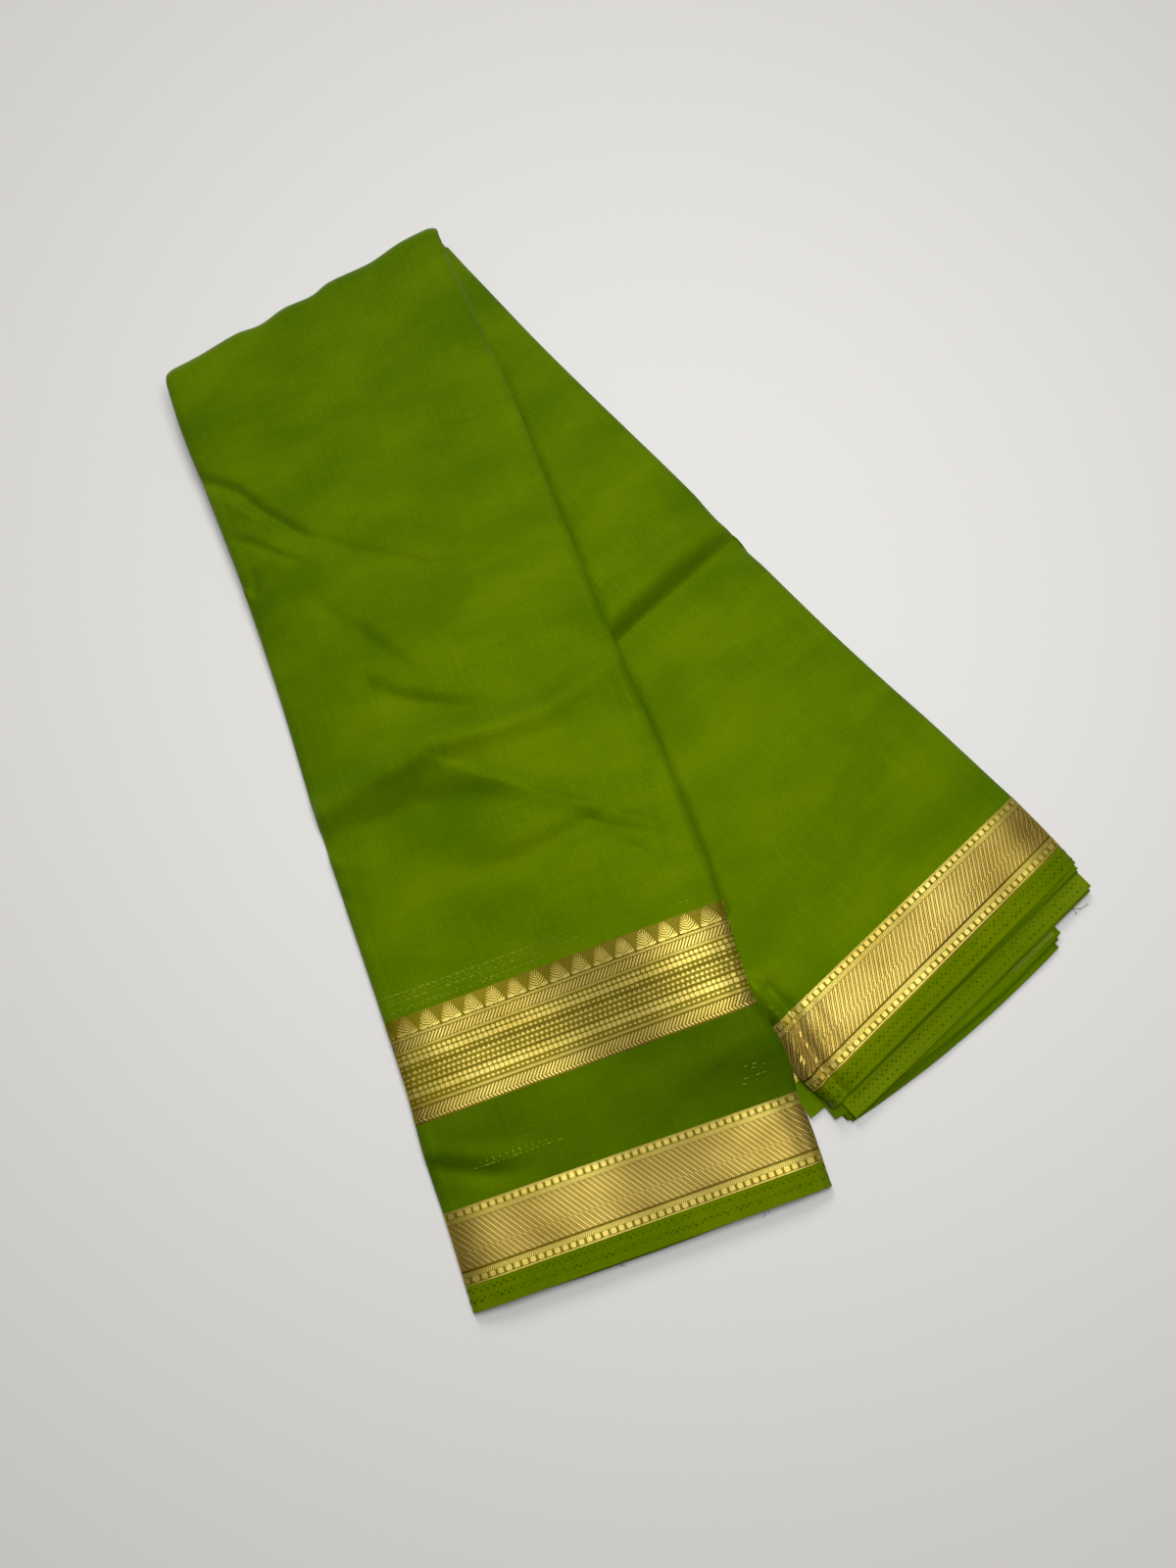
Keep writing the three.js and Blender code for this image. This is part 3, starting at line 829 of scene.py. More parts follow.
@dataclass(frozen=True)
class Finishes:
    """The materials of the part."""

    green: bpy.types.Material
    gap: bpy.types.Material
    edges: bpy.types.Material
    selvedge: bpy.types.Material
    sheer: bpy.types.Material
    ground: bpy.types.Material
    twill_ground: bpy.types.Material
    line: bpy.types.Material
    thread: bpy.types.Material
    twill: bpy.types.Material
    lower_thread: bpy.types.Material
    lower_twill: bpy.types.Material
    pin: bpy.types.Material
    glimpse: bpy.types.Material
    stray: bpy.types.Material

    @classmethod
    def build(cls) -> "Finishes":
        """Makes every material."""
        thread = ZariFinish("zari_thread", (0.78, 0.64, 0.17), (0.46, 0.34, 0.05), 0.55, 0.36)
        twill = ZariFinish("zari_twill", (0.66, 0.5, 0.13), (0.38, 0.26, 0.045), 0.55, 0.36)
        # The lower band's painted shade sits only towards its right end, with none at its sides
        lower_shade = {"shade_at": 96.0, "shade_width": 24.0, "side_from": 200.0}
        return cls(
            green=ClothFinish("green_cloth", (0.041, 0.092, 0.0), (0.085, 0.143, 0.0)).build(),
            # Darker green of the gap between the borders; on some leaves it paints the shade between layers
            gap=ClothFinish("gap_cloth", (0.026, 0.064, 0.0), (0.056, 0.104, 0.0)).build(),
            # Darker green for the folded layers and some leaves: partly the stacked layers' deeper tone,
            # partly painted shade
            edges=ClothFinish("folded_edges", (0.03, 0.07, 0.0), (0.06, 0.12, 0.0)).build(),
            selvedge=ClothFinish("selvedge_cloth", (0.06, 0.105, 0.0), (0.105, 0.15, 0.0)).build(),
            sheer=ClothFinish("sheer_selvedge", (0.07, 0.115, 0.0), (0.11, 0.16, 0.003)).build(),
            ground=ZariFinish("zari_ground", (0.22, 0.18, 0.0), (0.1, 0.08, 0.0), 0.15, 0.45).build(),
            twill_ground=ZariFinish(
                "zari_twill_ground", (0.16, 0.11, 0.003), (0.07, 0.045, 0.0), 0.25, 0.45
            ).build(),
            line=ZariFinish("zari_line", (0.12, 0.1, 0.0), (0.06, 0.052, 0.0), 0.1, 0.6).build(),
            thread=thread.build(),
            twill=twill.build(),
            lower_thread=replace(thread, name="zari_lower_thread", **lower_shade).build(),
            lower_twill=replace(twill, name="zari_lower_twill", **lower_shade).build(),
            pin=ClothFinish("pin_holes", (0.02, 0.045, 0.0), (0.03, 0.06, 0.0)).build(),
            glimpse=ZariFinish("zari_glimpse", (0.23, 0.3, 0.018), (0.14, 0.21, 0.01), 0.1, 0.6).build(),
            stray=ClothFinish("stray_thread", (0.02, 0.04, 0.0), (0.04, 0.07, 0.0)).build(),
        )


class Mark(Enum):
    """The small woven shapes that a border repeats."""

    ROUND = "round"
    SQUARE = "square"
    BEAD = "bead"
    TRIANGLE = "triangle"
    DIAMOND = "diamond"
    ROPE = "rope"
    ROPE_BACK = "rope_back"
    BAR = "bar"
    FOOT = "foot"
    TWILL = "twill"
    TWILL_BACK = "twill_back"
    TWILL_FAINT = "twill_faint"
    TWILL_FAINT_BACK = "twill_faint_back"
    BLOCK = "block"
    LEAF = "leaf"
    SCALLOP = "scallop"
    PIN = "pin"
    TICK = "tick"
    DASH = "dash"
    WISP = "wisp"


def ring(corners: int, across: float, along: float, start: float = 0.0) -> Array:
    """Corners of a round or many-sided shape.

    Args:
        corners: How many.
        across: Half the width.
        along: Half the height.
        start: The first corner's angle in degrees.

    Returns:
        The corners, counterclockwise.
    """
    angle = np.radians(start) + np.arange(corners) * 2 * np.pi / corners
    return np.stack([across * np.cos(angle), along * np.sin(angle)], axis=1)


def rounded_square(across: float, along: float, cut: float) -> Array:
    """Corners of a square with cut corners, from its half width and half height."""
    a, b = across - cut, along - cut
    quarter = [(across, -b), (across, b), (a, along), (-a, along)]
    return np.array(quarter + [(-x, -y) for x, y in quarter])


def slanted(width: float, height: float, slant: float) -> Array:
    """Corners of an upright bar whose far end is moved sideways by the slant."""
    w, h, k = width / 2, height / 2, slant / 2
    return np.array([(-w - k, -h), (w - k, -h), (w + k, h), (-w + k, h)])


def leaf_veins(half: float = 4.5, height: float = 8.8, veins: int = 6) -> list[Array]:
    """The veins of a temple leaf, which points to the band's inner edge.

    Each vein rises from the leaf's middle outwards and ends in an upright tip.

    Args:
        half: Half the leaf's width at its foot.
        height: Its height.
        veins: How many veins are on each side.

    Returns:
        The corners of each vein.
    """
    bars = []
    for k in range(veins):
        share = k / (veins - 1)
        reach = mix(0.75, half, share**0.8)
        root = mix(-height * 0.2, height * 0.5, share)
        tip = mix(-height * 0.5, height * 0.2, share**1.15)
        elbow = mix(root, tip, 0.5)
        corners = [
            (0.0, root + 0.3), (reach * 0.72, elbow + 0.42), (reach + 0.12, tip + 0.1),
            (reach - 0.12, tip - 0.15), (reach * 0.66, elbow - 0.2), (0.0, root - 0.42),
        ]
        right = np.array(corners)
        bars += [right[::-1], right * np.array([-1, 1])]
    for hand in (-1, 1):
        foot = np.array([(1.6, 4.2), (4.6, 3.1), (4.85, 2.6), (5.0, 3.4), (4.9, 4.5), (1.7, 4.75)])
        bars.append(foot * np.array([hand, 1]))
    return bars


def mark_outlines(mark: Mark) -> list[Array]:
    """The outlines that make a mark, in millimetres across and along the border.

    Args:
        mark: The mark.

    Returns:
        One list of corners for each float of thread in it.
    """
    return {
        Mark.ROUND: lambda: [ring(8, 1.1, 1.05, 22.5)],
        Mark.SQUARE: lambda: [rounded_square(1.08, 1.16, 0.35)],
        Mark.BEAD: lambda: [ring(6, 0.9, 0.6)],
        Mark.TRIANGLE: lambda: [ring(3, 1.35, 1.1, -90)],
        Mark.DIAMOND: lambda: [ring(6, 1.0, 0.75)],
        Mark.ROPE: lambda: [slanted(0.5, 1.25, 0.55)],
        Mark.ROPE_BACK: lambda: [slanted(0.5, 1.25, -0.55)],
        Mark.BAR: lambda: [slanted(1.0, 4.5, -3.5)],
        Mark.FOOT: lambda: [slanted(0.95, 1.7, 1.1)],
        Mark.TWILL: lambda: [slanted(1.25, 2.06, 1.48)],
        Mark.TWILL_BACK: lambda: [slanted(1.25, 2.06, -1.48)],
        Mark.TWILL_FAINT: lambda: [slanted(0.4, 2.06, 1.48)],
        Mark.TWILL_FAINT_BACK: lambda: [slanted(0.4, 2.06, -1.48)],
        Mark.BLOCK: lambda: [rounded_square(1.36, 1.22, 0.4)],
        Mark.LEAF: leaf_veins,
        Mark.SCALLOP: lambda: [ring(6, 0.55, 0.42)],
        Mark.PIN: lambda: [ring(6, 0.52, 0.38)],
        Mark.TICK: lambda: [slanted(0.35, 1.5, 0.5)],
        Mark.DASH: lambda: [slanted(1.7, 0.3, 0.1)],
        Mark.WISP: lambda: [
            slanted(0.3, 0.8, 0.5) + (-1.7, -0.6),
            slanted(0.3, 0.6, 0.4) + (-0.7, 0.5),
            slanted(0.3, 0.9, -0.3) + (0.3, -0.9),
            slanted(0.3, 0.6, 0.3) + (0.6, 1.3),
            slanted(0.3, 0.7, 0.6) + (1.6, 0.3),
            slanted(0.3, 0.5, -0.3) + (-0.2, 2.2),
        ],
    }[mark]()


def mark_object(mark: Mark, top: float = 0.18, foot: float = -0.12) -> bpy.types.Object:
    """Makes a mark as flat closed pads, in millimetres.

    Args:
        mark: The mark.
        top: How far its top stands above the cloth.
        foot: How deep its underside is sunk.

    Returns:
        An object that is deleted once the rows are made.
    """
    points = []
    faces = []
    for outline in mark_outlines(mark):
        x, y = outline.T
        if np.sum(x * np.roll(y, -1) - np.roll(x, -1) * y) < 0:
            outline = outline[::-1]
        n = len(outline)
        base = len(points)
        points += [(x, y, foot) for x, y in outline]
        points += [(x, y, top) for x, y in outline]
        faces.append([base + k for k in range(n)][::-1])
        faces.append([base + n + k for k in range(n)])
        faces += [
            (base + k, base + (k + 1) % n, base + n + (k + 1) % n, base + n + k) for k in range(n)
        ]
    mesh = bpy.data.meshes.new(mark.value)
    mesh.from_pydata(points, [], faces)
    body = bpy.data.objects.new(f"mark_{mark.value}", mesh)
    bpy.context.scene.collection.objects.link(body)
    return body


@dataclass(frozen=True)
class MarkRow:
    """Rows of one mark along a border. Offsets run from the band's inner edge towards the hem."""

    mark: Mark
    offset: float
    pitch: float
    shift: float = 0.0
    rows: int = 1
    step: float = 0.0
    slant: float = 0.0
    low: float = -100.0
    high: float = 100.0
    jitter: float = 0.04


class RowMaker:
    """Lays rows of marks out flat with Geometry Nodes."""

    inputs = {
        "Mark": "NodeSocketObject",
        "Count": "NodeSocketInt",
        "Rows": "NodeSocketInt",
        "Start": "NodeSocketFloat",
        "Pitch": "NodeSocketFloat",
        "Offset": "NodeSocketFloat",
        "Step": "NodeSocketFloat",
        "Slant": "NodeSocketFloat",
        "Low": "NodeSocketFloat",
        "High": "NodeSocketFloat",
        "Jitter": "NodeSocketFloat",
        "Seed": "NodeSocketInt",
        "Finish": "NodeSocketMaterial",
    }

    def __init__(self) -> None:
        """Builds the node tree and every mark."""
        self.tree = bpy.data.node_groups.new("mark_rows", "GeometryNodeTree")
        self.sockets: dict[str, str] = {}
        for name, kind in self.inputs.items():
            socket = self.tree.interface.new_socket(name, in_out="INPUT", socket_type=kind)
            self.sockets[name] = socket.identifier
        self.tree.interface.new_socket("Geometry", in_out="OUTPUT", socket_type="NodeSocketGeometry")
        self.wire()
        self.marks = {mark: mark_object(mark) for mark in Mark}

    def wire(self) -> None:
        """Wires the tree: a lattice of points, cut at both sides, with a mark on each."""
        nodes = Nodes(self.tree)
        given = nodes.add("NodeGroupInput").outputs
        index = nodes.add("GeometryNodeInputIndex").outputs[0]
        column = nodes.math("FLOORED_MODULO", index, given["Count"])
        row = nodes.math("FLOOR", nodes.math("DIVIDE", nodes.math("ADD", index, 0.5), given["Count"]))
        x = nodes.math("MULTIPLY_ADD", column, given["Pitch"], given["Start"])
        x = nodes.math("MULTIPLY_ADD", row, given["Slant"], x)
        y = nodes.math("MULTIPLY_ADD", row, given["Step"], given["Offset"])
        place = nodes.add("ShaderNodeCombineXYZ", {0: x, 1: y}).outputs[0]
        total = nodes.math("MULTIPLY", given["Count"], given["Rows"])
        points = nodes.add("GeometryNodePoints", {"Count": total, "Position": place})
        here = nodes.add("GeometryNodeInputPosition").outputs[0]
        across = nodes.add("ShaderNodeSeparateXYZ", {0: here}).outputs[0]
        before = nodes.add("FunctionNodeCompare", {0: across, 1: given["Low"]}, operation="LESS_THAN")
        after = nodes.add("FunctionNodeCompare", {0: across, 1: given["High"]}, operation="GREATER_THAN")
        outside = nodes.add(
            "FunctionNodeBooleanMath", {0: before.outputs[0], 1: after.outputs[0]}, operation="OR"
        )
        kept = nodes.add(
            "GeometryNodeDeleteGeometry",
            {"Geometry": points.outputs[0], "Selection": outside.outputs[0]},
            domain="POINT",
        )
        low = nodes.math("SUBTRACT", 1.0, given["Jitter"])
        high = nodes.math("ADD", 1.0, given["Jitter"])
        size = nodes.add("FunctionNodeRandomValue", {"Seed": given["Seed"]}, data_type="FLOAT")
        self.tree.links.new(low, size.inputs[2])
        self.tree.links.new(high, size.inputs[3])
        info = nodes.add("GeometryNodeObjectInfo", {"Object": given["Mark"], "As Instance": True})
        placed = nodes.add(
            "GeometryNodeInstanceOnPoints",
            {"Points": kept.outputs[0], "Instance": info.outputs["Geometry"], "Scale": size.outputs[1]},
        )
        real = nodes.add("GeometryNodeRealizeInstances", {0: placed.outputs[0]})
        dressed = nodes.add(
            "GeometryNodeSetMaterial", {"Geometry": real.outputs[0], "Material": given["Finish"]}
        )
        nodes.add("NodeGroupOutput", {0: dressed.outputs[0]})

    def lay(self, row: MarkRow, finish: bpy.types.Material, seed: int) -> bpy.types.Mesh:
        """Makes the flat mesh of some rows.

        Args:
            row: What the rows repeat.
            finish: Their material.
            seed: The seed of the small differences in size.

        Returns:
            A mesh in millimetres, across in X, the offset in Y and the height in Z.
        """
        reach = abs(row.slant) * row.rows
        count = math.ceil((row.high - row.low + 2 * reach) / row.pitch)
        start = row.low - reach + row.shift % row.pitch
        values = {
            "Mark": self.marks[row.mark], "Count": count, "Rows": row.rows, "Start": start,
            "Pitch": row.pitch, "Offset": row.offset, "Step": row.step, "Slant": row.slant,
            "Low": row.low, "High": row.high, "Jitter": row.jitter, "Seed": seed, "Finish": finish,
        }
        holder = bpy.data.objects.new("rows", bpy.data.meshes.new("rows"))
        bpy.context.scene.collection.objects.link(holder)
        modifier = holder.modifiers.new("rows", "NODES")
        modifier.node_group = self.tree
        for name, value in values.items():
            modifier[self.sockets[name]] = value
        graph = bpy.context.evaluated_depsgraph_get()
        mesh = bpy.data.meshes.new_from_object(holder.evaluated_get(graph))
        holder.modifiers.remove(modifier)
        bpy.data.objects.remove(holder)
        return mesh

    def close(self) -> None:
        """Deletes the marks, which were only patterns to copy."""
        for body in self.marks.values():
            bpy.data.objects.remove(body)


def read_mesh(mesh: bpy.types.Mesh) -> tuple[Array, list[tuple[int, ...]]]:
    """The vertices and faces of a mesh."""
    points = np.empty(len(mesh.vertices) * 3)
    mesh.vertices.foreach_get("co", points)
    return points.reshape(-1, 3), [tuple(face.vertices) for face in mesh.polygons]


@dataclass(frozen=True)
class Strip:
    """A stretch of cloth on a leg that rows of marks are laid on."""

    leg: Leg
    edge: float

    def wrap(self, flat: Array) -> tuple[Array, Array]:
        """Lays flat points on the cloth.

        Args:
            flat: Points with the distance across in X, the offset in Y and the height in Z.

        Returns:
            Their positions in the part's frame, in millimetres, and their cloth map in metres.
        """
        arc, station = flat[:, 0], self.edge + flat[:, 1]
        out = self.leg.normal(station, arc)
        points = self.leg.surface(station, arc) + out * flat[:, 2:3]
        return points, np.stack([arc, station], axis=1) * MM


@dataclass(frozen=True)
class LeafStrip:
    """A stretch of a leaf's upper layer that rows of marks are laid on."""

    leg: Leg
    leaf: "Leaf"
    edge: float

    def wrap(self, flat: Array) -> tuple[Array, Array]:
        """Lays flat points on the leaf.

        Args:
            flat: Points with the distance across in X, the offset in Y and the height in Z.

        Returns:
            Their positions in the part's frame, in millimetres, and their cloth map in metres.
        """
        across, station = flat[:, 0], self.edge + flat[:, 1]
        points = self.leaf.surface(self.leg, station, across)
        points[:, 2] += flat[:, 2]
        return points, np.stack([across, station], axis=1) * MM


def lay_marks(
    name: str,
    strip: Strip | LeafStrip,
    maker: RowMaker,
    rows: Sequence[MarkRow],
    finishes: Sequence[bpy.types.Material],
) -> bpy.types.Object:
    """Makes one piece of all the rows on a strip.

    Args:
        name: The piece's name.
        strip: What the rows lie on.
        maker: The maker of flat rows.
        rows: The rows.
        finishes: The material of each row.

    Returns:
        The piece.
    """
    parts = []
    for seed, (row, finish) in enumerate(zip(rows, finishes, strict=True)):
        mesh = maker.lay(row, finish, seed)
        flat, faces = read_mesh(mesh)
        bpy.data.meshes.remove(mesh)
        points, uv = strip.wrap(flat)
        part = make_object(name, points, faces, uv, sharp=35)
        part.data.materials.append(finish)
        parts.append(part)
    return join(name, parts)


@dataclass(frozen=True)
class Stretch:
    """A stretch of the top layer along a leg. Each zone ends at an offset and has a finish."""

    name: str
    node: str
    leg: Leg
    start: float
    end: float
    slot: str
    zones: tuple[tuple[float, str], ...]
    step: float
    flat_columns: int
    turn_columns: int = 9

    def stations(self) -> Array:
        """Stations of the rows, with one at the end of every zone."""
        parts = []
        begin = self.start
        for offset, _ in self.zones:
            end = min(self.start + offset, self.end)
            count = max(math.ceil((end - begin) / self.step), 1)
            parts.append(np.linspace(begin, end, count, endpoint=False))
            begin = end
        return np.append(np.concatenate(parts), self.end)

    def arcs(self, stations: Array) -> Array:
        """Places across the cloth in each row, closer together where it turns down."""
        low, high = (edge[:, None] for edge in self.leg.flat_edges(np.maximum(stations, BEND_START)))
        turn = np.linspace(CURL_LIMIT * CURL_ARC, 0, self.turn_columns, endpoint=False)
        share = np.linspace(0, 1, self.flat_columns + 1)
        return np.concatenate([low - turn, low + (high - low) * share, high + turn[::-1]], axis=1)

    def build(self, finishes: Finishes) -> bpy.types.Object:
        """Makes the stretch as a thin sheet.

        Args:
            finishes: The part's materials.

        Returns:
            The piece.
        """
        stations = self.stations()
        arcs = self.arcs(stations)
        rows = np.broadcast_to(stations[:, None], arcs.shape)
        outer = self.leg.surface(rows, arcs)
        piece = sheet_object(self.name, outer, np.stack([arcs, rows], axis=-1) * MM, CLOTH)
        names = list(dict.fromkeys(finish for _, finish in self.zones))
        for name in names:
            piece.data.materials.append(getattr(finishes, name))
        ends = np.array([offset for offset, _ in self.zones[:-1]])
        zone = np.searchsorted(ends, stations[:-1] - self.start + 1e-6, side="right")
        by_row = np.array([names.index(self.zones[k][1]) for k in zone])
        faces = np.zeros(len(piece.data.polygons), dtype=np.int32)
        columns = arcs.shape[1] - 1
        shell = np.repeat(by_row, columns)
        faces[: 2 * len(shell)] = np.concatenate([shell, shell])
        piece.data.polygons.foreach_set("material_index", faces)
        finish_piece(piece, [self.node])
        return piece


@dataclass(frozen=True)
class TopLayer:
    """The cloth that shows on both legs, from hem to hem."""

    upper_wide: float = 417.3
    upper_gap: float = 471.2
    upper_narrow: float = 516.5
    upper_selvedge: float = 551.5
    upper_hem: float = 564.5
    lower_start: float = 11.0
    lower_narrow: float = 488.6
    lower_selvedge: float = 525.0
    lower_hem: float = 536.4

    def stretches(self) -> list[Stretch]:
        """The stretches of both legs."""
        wrap = BEND_START - math.radians(WRAP_DEGREES) * BEND_RADIUS
        green = ((1000.0, "green"),)
        gap = ((1000.0, "gap"),)
        hem = ((1000.0, "selvedge"),)
        wide = (
            (9.3, "ground"), (9.8, "line"), (11.5, "ground"), (16.4, "twill_ground"), (26.8, "ground"),
            (27.3, "line"), (35.0, "ground"), (35.4, "line"), (46.2, "ground"), (1000.0, "twill_ground"),
        )
        narrow = (
            (3.9, "ground"), (6.2, "ground"), (6.6, "line"), (29.0, "twill_ground"), (29.4, "line"),
            (1000.0, "ground"),
        )
        upper = (
            wrap, self.upper_wide, self.upper_gap, self.upper_narrow, self.upper_selvedge, self.upper_hem,
        )
        lower = (self.lower_start, self.lower_narrow, self.lower_selvedge, self.lower_hem)
        rows = (
            ("upper_field_cloth", "upper_field", UPPER, upper[0:2], green, 1.7, 110),
            ("upper_wide_ground", "upper_wide_border", UPPER, upper[1:3], wide, 1.7, 110),
            ("upper_gap_cloth", "upper_gap", UPPER, upper[2:4], gap, 1.7, 110),
            ("upper_narrow_ground", "upper_narrow_border", UPPER, upper[3:5], narrow, 1.3, 170),
            ("upper_selvedge_cloth", "upper_selvedge", UPPER, upper[4:6], hem, 1.7, 110),
            ("lower_field_cloth", "lower_field", LOWER, lower[0:2], green, 1.3, 90),
            ("lower_narrow_ground", "lower_narrow_border", LOWER, lower[1:3], narrow, 1.2, 220),
            ("lower_selvedge_cloth", "lower_selvedge", LOWER, lower[2:4], hem, 1.3, 200),
        )
        stretches = []
        for name, node, leg, (start, end), zones, step, columns in rows:
            slot = "gold_border" if name.endswith("ground") else "green_cloth"
            stretches.append(Stretch(name, node, leg, start, end, slot, zones, step, columns))
        return stretches

    def build(self, finishes: Finishes) -> None:
        """Makes every stretch."""
        for stretch in self.stretches():
            stretch.build(finishes)


@dataclass(frozen=True)
class FoldedLayers:
    """The folded layers under the top one, whose folds show as rounded edges at the sides.

    They are one piece, up the lower leg, round the bend and down the upper leg.
    """

    lobes: int = 9
    lobe_points: int = 4
    flat_columns: int = 12
    notch: float = 0.7
    clearance: float = 0.8
    inset: float = 0.5
    wander: float = 0.5
    roundness: float = 0.7
    row_step: float = 5.0
    row_reach: float = 0.8
    column_reach: float = 0.9
    reach_steps: int = 6
    lower_end: float = 500.8
    upper_end: float = 536.0
    bend_first: float = 176.0
    bend_last: float = 4.0
    bend_step: float = -9.0

    def side_points(
        self, first: Array, last: Array, depths: Array, axis: Array, place: float, hand: int
    ) -> Array:
        """The folded edges of one section at one side.

        Args:
            first: Where they start, at the flat part's edge.
            last: Where they end.
            depths: How deep the start and the end lie under the top layer.
            axis: The direction across the leg, in plan.
            place: The section's place along the layers.
            hand: 1 at the right and -1 at the left.

        Returns:
            The points from the start to the end, without both.
        """
        share = np.linspace(0, 1, self.lobes * self.lobe_points + 1)[1:-1]
        depth = mix(depths[0], depths[1], share)
        fall = 1 - np.clip(depth / CURL_DROP, 0, 1)
        clear = CURL_WIDTH * (1 - np.sqrt(1 - fall**2)) + self.clearance
        lobe = np.floor(share * self.lobes)
        wander = np.sin(place / 23 + 1.7 * lobe) * np.sin(place / 61 + 0.9 * lobe + hand)
        crest = np.abs(np.sin(np.pi * share * self.lobes)) ** self.roundness
        inset = clear + self.inset + self.wander * wander + self.notch * (1 - crest)
        points = first + np.multiply.outer(share, last - first)
        points[:, :2] += np.multiply.outer(hand * (CURL_WIDTH - inset), axis)
        return points

    def section(self, outside: Array, inside: Array, depths: Array, axis: Array, place: float) -> Array:
        """One closed section through the layers, from its outside and inside lines."""
        right = self.side_points(outside[-1], inside[-1], depths, axis, place, 1)
        left = self.side_points(outside[0], inside[0], depths, axis, place, -1)
        return np.concatenate([outside, right, inside[::-1], left[::-1]])

    def arcs(self, leg: Leg, station: float) -> Array:
        """Places across the flat part of a row."""
        low, high = leg.flat_edges(np.array(station))
        return np.linspace(low, high, self.flat_columns + 1)

    def top(self, leg: Leg, station: float) -> Array:
        """The layers' top in a row, under the lowest cloth close to each place."""
        arcs = self.arcs(leg, station)
        reach = (arcs[1] - arcs[0]) * self.column_reach
        top = leg.surface(np.full_like(arcs, station), arcs)
        for along in (-self.row_reach, 0, self.row_reach):
            row = np.full_like(arcs, max(station + along * self.row_step, BEND_START))
            for across in np.linspace(-reach, reach, self.reach_steps):
                near = np.clip(arcs + across, arcs[0], arcs[-1])
                top[:, 2] = np.minimum(top[:, 2], leg.surface(row, near)[:, 2])
        return top - np.array([0, 0, COVERED])

    def lower_section(self, station: float) -> Array:
        """A section of the lower leg, which rests on the table."""
        top = self.top(LOWER, station)
        bottom = top * np.array([1, 1, 0])
        depths = np.array([top[0, 2], COVERED])
        return self.section(bottom, top, depths, LOWER.side, station)

    def upper_section(self, station: float) -> Array:
        """A section of the upper leg, which rests on the lower one, the drape and the table."""
        arcs = self.arcs(UPPER, station)
        top = self.top(UPPER, station)
        s, t, _ = UPPER.spot(np.full_like(arcs, station), arcs)
        bottom = top.copy()
        bottom[:, 2] = UPPER.support(s, t)
        depths = np.array([COVERED, top[0, 2] - bottom[0, 2]])
        return self.section(top, bottom, depths, UPPER.side, -station)

    def bend_section(self, degrees: float) -> Array:
        """A section through the bend."""
        arcs = self.arcs(UPPER, BEND_START)
        angle = np.full_like(arcs, degrees)
        cover = COVERED * smoothstep(WRAP_DEGREES + 4 - degrees, 0, 3)
        outside = UPPER.bend(angle, arcs, np.full_like(arcs, BEND_RADIUS - cover))
        inside = UPPER.bend(angle, arcs, np.full_like(arcs, SLOT_RADIUS))
        share = degrees / 180
        axis = UPPER.side * (1 - share) + LOWER.side * share
        return self.section(outside, inside, np.array([COVERED, BEND_RADIUS]), axis, degrees / 8)

    def build(self, finishes: Finishes) -> bpy.types.Object:
        """Makes the piece."""
        lower = np.arange(self.lower_end, BEND_START, -self.row_step)
        upper = np.append(np.arange(BEND_START, self.upper_end, self.row_step), self.upper_end)
        sections = [self.lower_section(station) for station in lower]
        bend = np.arange(self.bend_first, self.bend_last, self.bend_step)
        sections += [self.bend_section(degrees) for degrees in bend]
        sections += [self.upper_section(station) for station in upper]
        size = len(sections[0])
        j = np.arange(size)
        following = (j + 1) % size
        faces = []
        for i in range(len(sections) - 1):
            a, b = i * size, (i + 1) * size
            faces += np.stack([a + j, b + j, b + following, a + following], axis=1).tolist()
        faces.append(j.tolist())
        faces.append((j[::-1] + (len(sections) - 1) * size).tolist())
        points = np.concatenate(sections)
        uv = points[:, :2] * MM + points[:, 2:3] * np.array([MM * 3, MM * 5])
        piece = make_object("folded_layers", points, faces, uv, sharp=40)
        # The folded edges' darker green is partly the deeper tone of the stacked layers and partly painted
        # shade along the turned-down sides
        piece.data.materials.append(finishes.edges)
        finish_piece(piece, ["hidden_layers"])
        return piece


